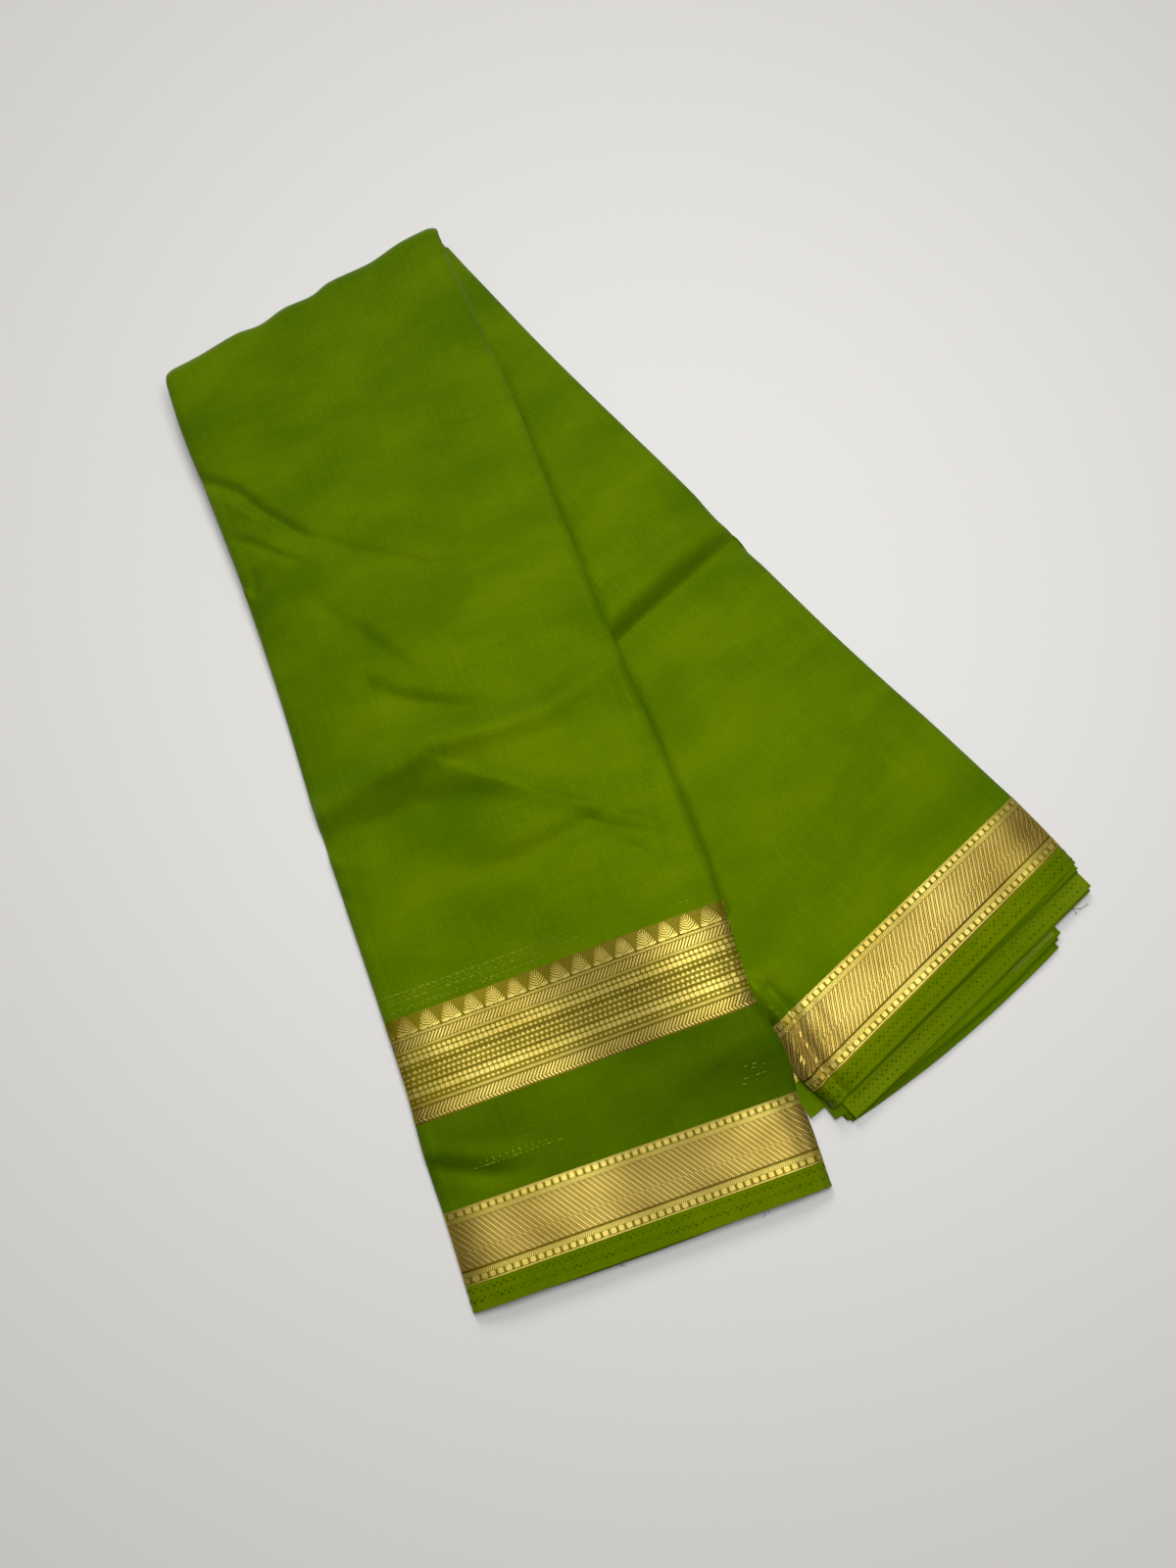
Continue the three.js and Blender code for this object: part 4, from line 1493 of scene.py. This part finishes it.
@dataclass(frozen=True)
class Leaf:
    """Two layers joined at one side, at a leg's end. Hems are stations at left, middle and right."""

    hems: tuple[float, float, float]
    left: float
    right: float
    height: float
    gap: float = 0.6
    fold_right: bool = True
    spread: float = 0.0
    finish: str = "green"

    def hem(self, share: Array) -> Array:
        """The hem's station at a share of the way from left to right."""
        left, middle, right = self.hems
        curve = middle - (left + right) / 2
        return mix(left, right, share) + 4 * curve * share * (1 - share)

    def plan_spot(self, leg: Leg, start: float, reach: Array, share: Array) -> tuple[Array, Array]:
        """The spot at a share across the leaf and a reach of 0 to 1 towards its hem."""
        left = self.left + self.spread * (1 - reach)
        t = mix(left, self.right, share)
        begin = start + leg.skew.at(np.array(start)) * t
        return mix(begin, self.hem(share), reach), t

    def rise(self, leg: Leg, s: Array, t: Array) -> Array:
        """Height of the leaf's upper layer, which waves a little towards its hem."""
        wide = 0.16 * np.sin(t / 15 + 3 * self.height)
        narrow = 0.1 * np.sin(t / 6.3 + s / 11 + 5 * self.height)
        return self.height + wide + narrow + self.sink(leg, s, t)

    def sink(self, leg: Leg, s: Array, t: Array) -> Array:
        """How far the leaf is pressed down under the top layer's troughs and sides."""
        low, high = leg.flat_edges(s)
        inside = np.clip(np.minimum(t - low, high - t) / SHOULDER_WIDTH, 0, 1)
        press = np.minimum(leg.lift(s, t), 0) - SHOULDER_DROP * (1 - inside) ** 2
        return press * min(self.height / 7, 1) ** 1.5

    def build(self, leg: Leg, start: float, finishes: Finishes, depth: float = 0.28) -> bpy.types.Object:
        """Makes the leaf as one thin sheet folded at its side.

        Args:
            leg: The leg.
            start: The station where the leaf comes out from under the top layer.
            finishes: The part's materials.
            depth: The thickness of one layer.

        Returns:
            The sheet.
        """
        reach = np.linspace(0, 1, LEAF_ROWS)[:, None]
        flat = np.linspace(0, 1, LEAF_COLUMNS)
        none, full = np.zeros(LEAF_COLUMNS), np.ones(LEAF_COLUMNS)
        turn = np.linspace(-0.5, 0.5, LEAF_TURN_POINTS + 2)[1:-1] * np.pi
        share = np.concatenate([flat, np.ones(len(turn)), flat[::-1]])
        lower = np.concatenate([full, (1 - np.sin(turn)) / 2, none])
        bulge = np.concatenate([none, np.cos(turn), none]) * self.gap / 2
        if not self.fold_right:
            share, lower, bulge = 1 - share, 1 - lower, -bulge
        s, t = self.plan_spot(leg, start, reach, share)
        s = s + 0.9 * lower * reach * np.sin(3 * self.height)
        height = self.rise(leg, s, t) - self.gap * lower
        outer = leg.place(leg.plan(s, t + bulge), np.broadcast_to(height, s.shape))
        across = np.cumsum(np.abs(np.diff(share, prepend=share[0]))) * (self.right - self.left)
        uv = np.stack([np.broadcast_to(across, s.shape), s], axis=-1) * MM
        sheet = sheet_object("leaf", outer[:, ::-1], uv[:, ::-1], depth)
        sheet.data.materials.append(getattr(finishes, self.finish))
        return sheet

    def surface(self, leg: Leg, station: Array, arc: Array) -> Array:
        """The outside of the upper layer at given spots."""
        return leg.place(leg.plan(station, arc), self.rise(leg, station, arc) + 0.02)


@dataclass(frozen=True)
class EndLayers:
    """The layers that fan out past the hem at a leg's end."""

    name: str
    leg: Leg
    start: float
    nodes: tuple[str, ...]
    leaves: tuple[Leaf, ...]

    def build(self, finishes: Finishes) -> bpy.types.Object:
        """Makes the leaves as one piece."""
        parts = [leaf.build(self.leg, self.start, finishes) for leaf in self.leaves]
        piece = join(self.name, parts)
        finish_piece(piece, self.nodes)
        return piece


UPPER_LEAVES = (
    Leaf((557.5, 562.4, 566.5), -88.5, 88.6, 4.9, 0.7, True),
    Leaf((559.5, 565.6, 566.6), -89.6, 89.2, 3.6, 0.6, False),
    Leaf((558.5, 564.2, 567), -89, 88, 2.4, 0.6, True),
    Leaf((556.5, 565.2, 565.4), -90, 88.2, 1.2, 0.6, False),
)
# Leaves with the gap and edges finishes are darker green, which paints the shade between the fanned layers
LOWER_LEAVES = (
    Leaf((536.9, 536.6, 537.1), -87, 89.5, 6.9, 0.6, True),
    Leaf((539, 538.6, 539.3), -87.6, 88.9, 5.8, 0.6, False, finish="gap"),
    Leaf((548.4, 548.9, 548.2), -86.5, 88.6, 4.6, 0.5, True, finish="sheer"),
    Leaf((549.3, 550.2, 550.6), -85, 86.8, 3.7, 0.5, True, finish="gap"),
    Leaf((542.4, 553.5, 554.6), -93.8, 59.1, 2.9, 0.5, False, spread=3),
    Leaf((534.4, 541, 546), -102.8, 80, 2.1, 0.5, True, spread=4),
    Leaf((547.5, 555, 556.6), -89.5, 56, 2.2, 0.4, False, finish="gap"),
    Leaf((549.7, 558.5, 559.8), -88.6, 53.1, 1.4, 0.5, True, finish="edges"),
    Leaf((546, 556.5, 558.1), -90, 47.4, 0.65, 0.4, False, finish="gap"),
)
END_LAYERS = (
    EndLayers(
        "upper_end_leaves",
        UPPER,
        534.4,
        ("upper_end_layer_1", "upper_end_layer_2", "upper_end_layer_3"),
        UPPER_LEAVES,
    ),
    EndLayers(
        "lower_end_leaves",
        LOWER,
        499.0,
        ("lower_end_layer_1", "lower_end_layer_2", "lower_end_layer_3", "lower_end_layer_4"),
        LOWER_LEAVES,
    ),
)


@dataclass(frozen=True)
class Borders:
    """The woven gold motifs on the three bands."""

    top: TopLayer

    def wide_rows(self) -> list[MarkRow]:
        """Temple leaves, ropes, slanted bars and rows of dots."""
        dots = []
        for places in ((19.8, 22.6, 25.5), (36.8, 39.6, 42.6)):
            dots += [
                MarkRow(Mark.ROUND, places[0], 2.6, 0.3),
                MarkRow(Mark.SQUARE, places[1], 2.6, 0.6),
                MarkRow(Mark.BEAD, places[2], 2.6, 0.2, jitter=0.15),
            ]
        return [
            MarkRow(Mark.LEAF, 4.7, 11.65, 9.7, jitter=0.02),
            MarkRow(Mark.ROPE, 10.6, 0.95),
            MarkRow(Mark.BAR, 14.0, 1.9, jitter=0.03),
            MarkRow(Mark.ROPE, 17.2, 0.95),
            *dots,
            MarkRow(Mark.TRIANGLE, 28.5, 2.6, 0.2),
            MarkRow(Mark.DIAMOND, 31.2, 2.6, 1.4, jitter=0.1),
            MarkRow(Mark.TRIANGLE, 33.8, 2.6, 0.9),
            MarkRow(Mark.ROPE, 45.0, 0.95),
            MarkRow(Mark.BAR, 48.9, 1.9, 0.4, jitter=0.03),
            MarkRow(Mark.FOOT, 52.2, 1.9, 0.9, jitter=0.05),
        ]

    def narrow_rows(self, hand: int) -> list[MarkRow]:
        """Squares and ropes on both sides of a field of twill stripes.

        Args:
            hand: 1 where the stripes run to the right towards the hem, and -1 to the left.

        Returns:
            The rows.
        """
        rope, back = (Mark.ROPE, Mark.ROPE_BACK) if hand > 0 else (Mark.ROPE_BACK, Mark.ROPE)
        lean = 0.72 * hand * 1.96
        twill = Mark.TWILL if hand > 0 else Mark.TWILL_BACK
        faint = Mark.TWILL_FAINT if hand > 0 else Mark.TWILL_FAINT_BACK
        return [
            MarkRow(rope, 0.55, 0.95),
            MarkRow(Mark.BLOCK, 2.35, 4.1, 0.8, jitter=0.05),
            MarkRow(rope, 4.5, 0.95, 0.3),
            MarkRow(back, 5.65, 0.95, 0.1),
            MarkRow(twill, 7.6, 2.85, 0.0, 7, 1.96, lean, jitter=0.02),
            MarkRow(faint, 7.6, 2.85, 1.42, 7, 1.96, lean, jitter=0.02),
            MarkRow(twill, 21.4, 2.85, 1.3, 4, 1.96, lean, jitter=0.02),
            MarkRow(faint, 21.4, 2.85, 2.72, 4, 1.96, lean, jitter=0.02),
            MarkRow(rope, 30.1, 0.95, 0.3),
            MarkRow(back, 31.2, 0.95, 0.1),
            MarkRow(Mark.BLOCK, 33.2, 4.1, 2.4, jitter=0.05),
            MarkRow(Mark.SCALLOP, 35.2, 1.15, 0.3),
        ]

    def build(self, maker: RowMaker, finishes: Finishes) -> None:
        """Makes the motifs of every band."""
        twill = (Mark.TWILL, Mark.TWILL_BACK, Mark.TWILL_FAINT, Mark.TWILL_FAINT_BACK)
        upper = (finishes.thread, finishes.twill)
        lower = (finishes.lower_thread, finishes.lower_twill)
        jobs = (
            ("upper_wide_zari", UPPER, self.top.upper_wide, self.wide_rows(), upper),
            ("upper_narrow_zari", UPPER, self.top.upper_narrow, self.narrow_rows(1), upper),
            ("lower_narrow_zari", LOWER, self.top.lower_narrow, self.narrow_rows(-1), lower),
        )
        for name, leg, edge, rows, pair in jobs:
            looks = [pair[row.mark in twill] for row in rows]
            piece = lay_marks(name, Strip(leg, edge), maker, rows, looks)
            finish_piece(piece)


@dataclass(frozen=True)
class Selvedges:
    """Pin holes along the hems, which a loom's stenter leaves."""

    top: TopLayer

    def rows(self) -> list[MarkRow]:
        """Two staggered pairs of pin holes."""
        return [
            MarkRow(Mark.PIN, 2.6, 3.3, 0.4, jitter=0.35),
            MarkRow(Mark.PIN, 3.8, 3.3, 1.9, jitter=0.4),
            MarkRow(Mark.PIN, 7.3, 3.3, 2.6, jitter=0.35),
            MarkRow(Mark.PIN, 8.4, 3.3, 0.9, jitter=0.5),
        ]

    def build(self, maker: RowMaker, finishes: Finishes) -> None:
        """Makes the pin holes of both hems and of the leaf that shows past the lower one."""
        leaf = LOWER_LEAVES[2]
        jobs = (
            ("upper_pin_holes", Strip(UPPER, self.top.upper_selvedge)),
            ("lower_pin_holes", Strip(LOWER, self.top.lower_selvedge)),
            ("leaf_pin_holes", LeafStrip(LOWER, leaf, self.top.lower_hem + 2.5)),
        )
        for name, strip in jobs:
            rows = self.rows()
            if strip.edge > self.top.lower_hem and strip.leg is LOWER:
                rows = [replace(row, low=leaf.left + 3, high=leaf.right - 3) for row in rows[:3]]
            piece = lay_marks(name, strip, maker, rows, [finishes.pin] * len(rows))
            finish_piece(piece)


@dataclass(frozen=True)
class Glimpses:
    """Gold threads of deeper layers: seen faintly through the cloth, and bare past the hems."""

    edge: float = 400.0

    def through(self) -> list[MarkRow]:
        """Broken lines and bits of temple leaves above the wide border and in the gap."""
        return [
            MarkRow(Mark.DASH, 5.4, 2.7, 0.3, low=-86, high=14, jitter=0.5),
            MarkRow(Mark.DASH, 6.1, 3.9, 1.3, low=-86, high=-4, jitter=0.5),
            MarkRow(Mark.WISP, 8.4, 5.83, 3.2, low=-84, high=20, jitter=0.3),
            MarkRow(Mark.DASH, 9.7, 4.3, 2.2, low=-84, high=20, jitter=0.6),
            MarkRow(Mark.DASH, 13.2, 3.1, 0.9, low=-86, high=2, jitter=0.5),
            MarkRow(Mark.DASH, 14.4, 3.7, 0.2, low=-86, high=-24, jitter=0.5),
            MarkRow(Mark.DASH, -3.5, 3.6, 0.4, low=76, high=81, jitter=0.5),
            MarkRow(Mark.DASH, 11.5, 3.3, 1.1, low=73, high=82, jitter=0.5),
            MarkRow(Mark.TICK, 98.8, 3.4, 0.5, low=-66, high=-30, jitter=0.3),
            MarkRow(Mark.DASH, 100.8, 2.9, 1.5, low=-70, high=-24, jitter=0.5),
            MarkRow(Mark.DASH, 97.2, 4.7, 0.8, low=73, high=83, jitter=0.6),
            MarkRow(Mark.DASH, 98.9, 5.9, 2.2, low=75, high=84, jitter=0.6),
            MarkRow(Mark.DASH, 102.6, 3.1, 0.2, low=72, high=82, jitter=0.6),
            MarkRow(Mark.DASH, 104.9, 6.3, 1.2, low=69, high=79, jitter=0.6),
        ]

    def build(self, maker: RowMaker, finishes: Finishes) -> None:
        """Makes the faint threads, a rope on a deep leaf and a bit of band beside the roll."""
        ropes = [
            MarkRow(Mark.ROPE_BACK, 0.0, 0.95, low=25, high=56),
            MarkRow(Mark.ROPE, 1.3, 0.95, low=27, high=56),
        ]
        patch = [
            MarkRow(Mark.BLOCK, 0.0, 1.9, low=-98, high=-93),
            MarkRow(Mark.BLOCK, 2.1, 1.9, 0.6, low=-99, high=-94),
            MarkRow(Mark.ROPE, 4.0, 0.95, low=-99.5, high=-94.5),
        ]
        jobs = (
            ("faint_threads", Strip(UPPER, self.edge), self.through(), finishes.glimpse),
            ("leaf_rope", LeafStrip(LOWER, LOWER_LEAVES[4], 551.6), ropes, finishes.glimpse),
            ("deep_band", LeafStrip(LOWER, LOWER_LEAVES[5], 512.5), patch, finishes.thread),
        )
        for name, strip, rows, finish in jobs:
            piece = lay_marks(name, strip, maker, rows, [finish] * len(rows))
            finish_piece(piece)


STRAY_PATHS = (
    ((241, -104.5, 3), (244.5, -107, 1.5), (249.4, -106.9, 0.8), (252.2, -105.3, 0.5), (254, -104.2, 0.3)),
    ((243.6, -105, 2), (245.7, -107.9, 0.8), (247.2, -109.9, 0.3)),
    ((75.6, -253, 3.4), (77.4, -256.6, 1.5), (77.8, -258.6, 0.8), (76.6, -260.2, 0.4)),
    ((78.6, -253.4, 2.6), (79.9, -257.9, 0.5)),
    ((4.8, -277.2, 3.4), (7.7, -280.4, 1.2), (6.3, -281.9, 0.5), (8.9, -282.3, 0.4)),
)


@dataclass(frozen=True)
class StrayThreads:
    """Loose ends of thread at the hems."""

    radius: float = 0.11
    corners: int = 6
    threads: tuple[tuple[tuple[float, float, float], ...], ...] = STRAY_PATHS

    def tube(self, path: Sequence[tuple[float, float, float]]) -> bpy.types.Object:
        """Makes one thread as a closed tube.

        Args:
            path: The spots that it runs through, in millimetres.

        Returns:
            The tube.
        """
        spots = np.array(path)
        steps = np.linspace(0, len(spots) - 1, 5 * len(spots))
        middle = np.stack([np.interp(steps, range(len(spots)), column) for column in spots.T], axis=1)
        along = np.gradient(middle, axis=0)
        side = np.cross(along, (0.0, 0.0, 1.0))
        side /= np.linalg.norm(side, axis=1, keepdims=True)
        up = np.cross(side, along)
        up /= np.linalg.norm(up, axis=1, keepdims=True)
        n = self.corners
        corners = (np.arange(n) * 2 * np.pi / n)[:, None]
        rounds = [
            spot + self.radius * (np.cos(corners) * right + np.sin(corners) * over)
            for spot, right, over in zip(middle, side, up)
        ]
        count = len(rounds)
        faces: list[tuple[int, ...]] = [
            (n * k + i, n * k + n + i, n * k + n + (i + 1) % n, n * k + (i + 1) % n)
            for k in range(count - 1)
            for i in range(n)
        ]
        faces += [tuple(range(n)), tuple(range(n * count - 1, n * count - n - 1, -1))]
        points = np.concatenate(rounds)
        return make_object("thread", points, faces, points[:, :2] * MM, sharp=60)

    def build(self, finishes: Finishes) -> None:
        """Makes every thread as one piece."""
        parts = [self.tube(path) for path in self.threads]
        for part in parts:
            part.data.materials.append(finishes.stray)
        finish_piece(join("stray_threads", parts))


@dataclass(frozen=True)
class Studio:
    """The table, the light and the camera."""

    camera_place: tuple[float, float, float] = (-0.00948, -0.19847, 0.616)
    camera_tilt: float = 14.5
    lens: float = 27.045
    sensor: float = 36.0
    table_size: float = 6.0
    table_top: float = -0.0002

    def add_camera(self) -> None:
        """Places the camera at the photograph's angle."""
        data = bpy.data.cameras.new("camera")
        data.lens = self.lens
        data.sensor_width = self.sensor
        data.clip_start = 0.01
        camera = bpy.data.objects.new("camera", data)
        camera.location = self.camera_place
        camera.rotation_euler = (math.radians(self.camera_tilt), 0, 0)
        bpy.context.scene.collection.objects.link(camera)
        bpy.context.scene.camera = camera

    def add_table(self) -> None:
        """Lays the saree on a plain pale table with a slight gloss."""
        half = self.table_size / 2
        mesh = bpy.data.meshes.new("table")
        plan = [(-half, -half), (half, -half), (half, half), (-half, half)]
        mesh.from_pydata([(x, y, self.table_top) for x, y in plan], [], [(0, 1, 2, 3)])
        table = bpy.data.objects.new("table", mesh)
        bpy.context.scene.collection.objects.link(table)
        material, nodes = new_material("table_top")
        shader = nodes.add(
            "ShaderNodeBsdfPrincipled",
            {"Base Color": (0.63, 0.622, 0.612, 1), "Roughness": 0.5, "Specular IOR Level": 0.2},
        )
        close_material(nodes, shader)
        mesh.materials.append(material)

    def add_light(
        self, name: str, place: Sequence[float], size: tuple[float, float], power: float, color: Color
    ) -> None:
        """Adds a soft light that faces the part.

        Args:
            name: The light's name.
            place: Where it is, in metres.
            size: Its width and length, in metres.
            power: Its power in watts.
            color: Its colour.
        """
        data = bpy.data.lights.new(name, "AREA")
        data.shape = "RECTANGLE"
        data.size, data.size_y = size
        data.energy = power
        data.color = color
        light = bpy.data.objects.new(name, data)
        light.location = place
        light.rotation_euler = (-light.location).to_track_quat("-Z", "Y").to_euler()
        bpy.context.scene.collection.objects.link(light)

    def build(self) -> None:
        """Makes the whole studio."""
        self.add_camera()
        self.add_table()
        self.add_light("key", (-1.3, 3.9, 2.8), (1.8, 1.8), 140, (1.0, 0.99, 0.975))
        bpy.data.objects["key"].visible_glossy = False
        self.add_light("ceiling", (0.05, 0.9, 2.2), (1.2, 1.5), 11, (1.0, 0.985, 0.965))
        self.add_light("overhead", (0.08, 0.05, 0.85), (0.5, 0.5), 5.3, (1.0, 0.99, 0.98))
        world = bpy.data.worlds.new("room")
        world.use_nodes = True
        nodes = Nodes(world.node_tree)
        sky = nodes.add("ShaderNodeBackground", {"Color": (1.0, 1.0, 1.0, 1), "Strength": 0.13})
        nodes.add("ShaderNodeOutputWorld", {"Surface": sky.outputs[0]})
        bpy.context.scene.world = world
        bpy.context.scene.view_settings.view_transform = "Standard"


def main() -> None:
    """Builds the studio and the saree, in order."""
    logging.basicConfig(level=logging.INFO, format="%(message)s", stream=sys.stdout)
    Studio().build()
    finishes = Finishes.build()
    top = TopLayer()
    FoldedLayers().build(finishes)
    top.build(finishes)
    for end in END_LAYERS:
        end.build(finishes)
    maker = RowMaker()
    Borders(top).build(maker, finishes)
    Selvedges(top).build(maker, finishes)
    Glimpses().build(maker, finishes)
    maker.close()
    StrayThreads().build(finishes)


if __name__ == "__main__":
    main()
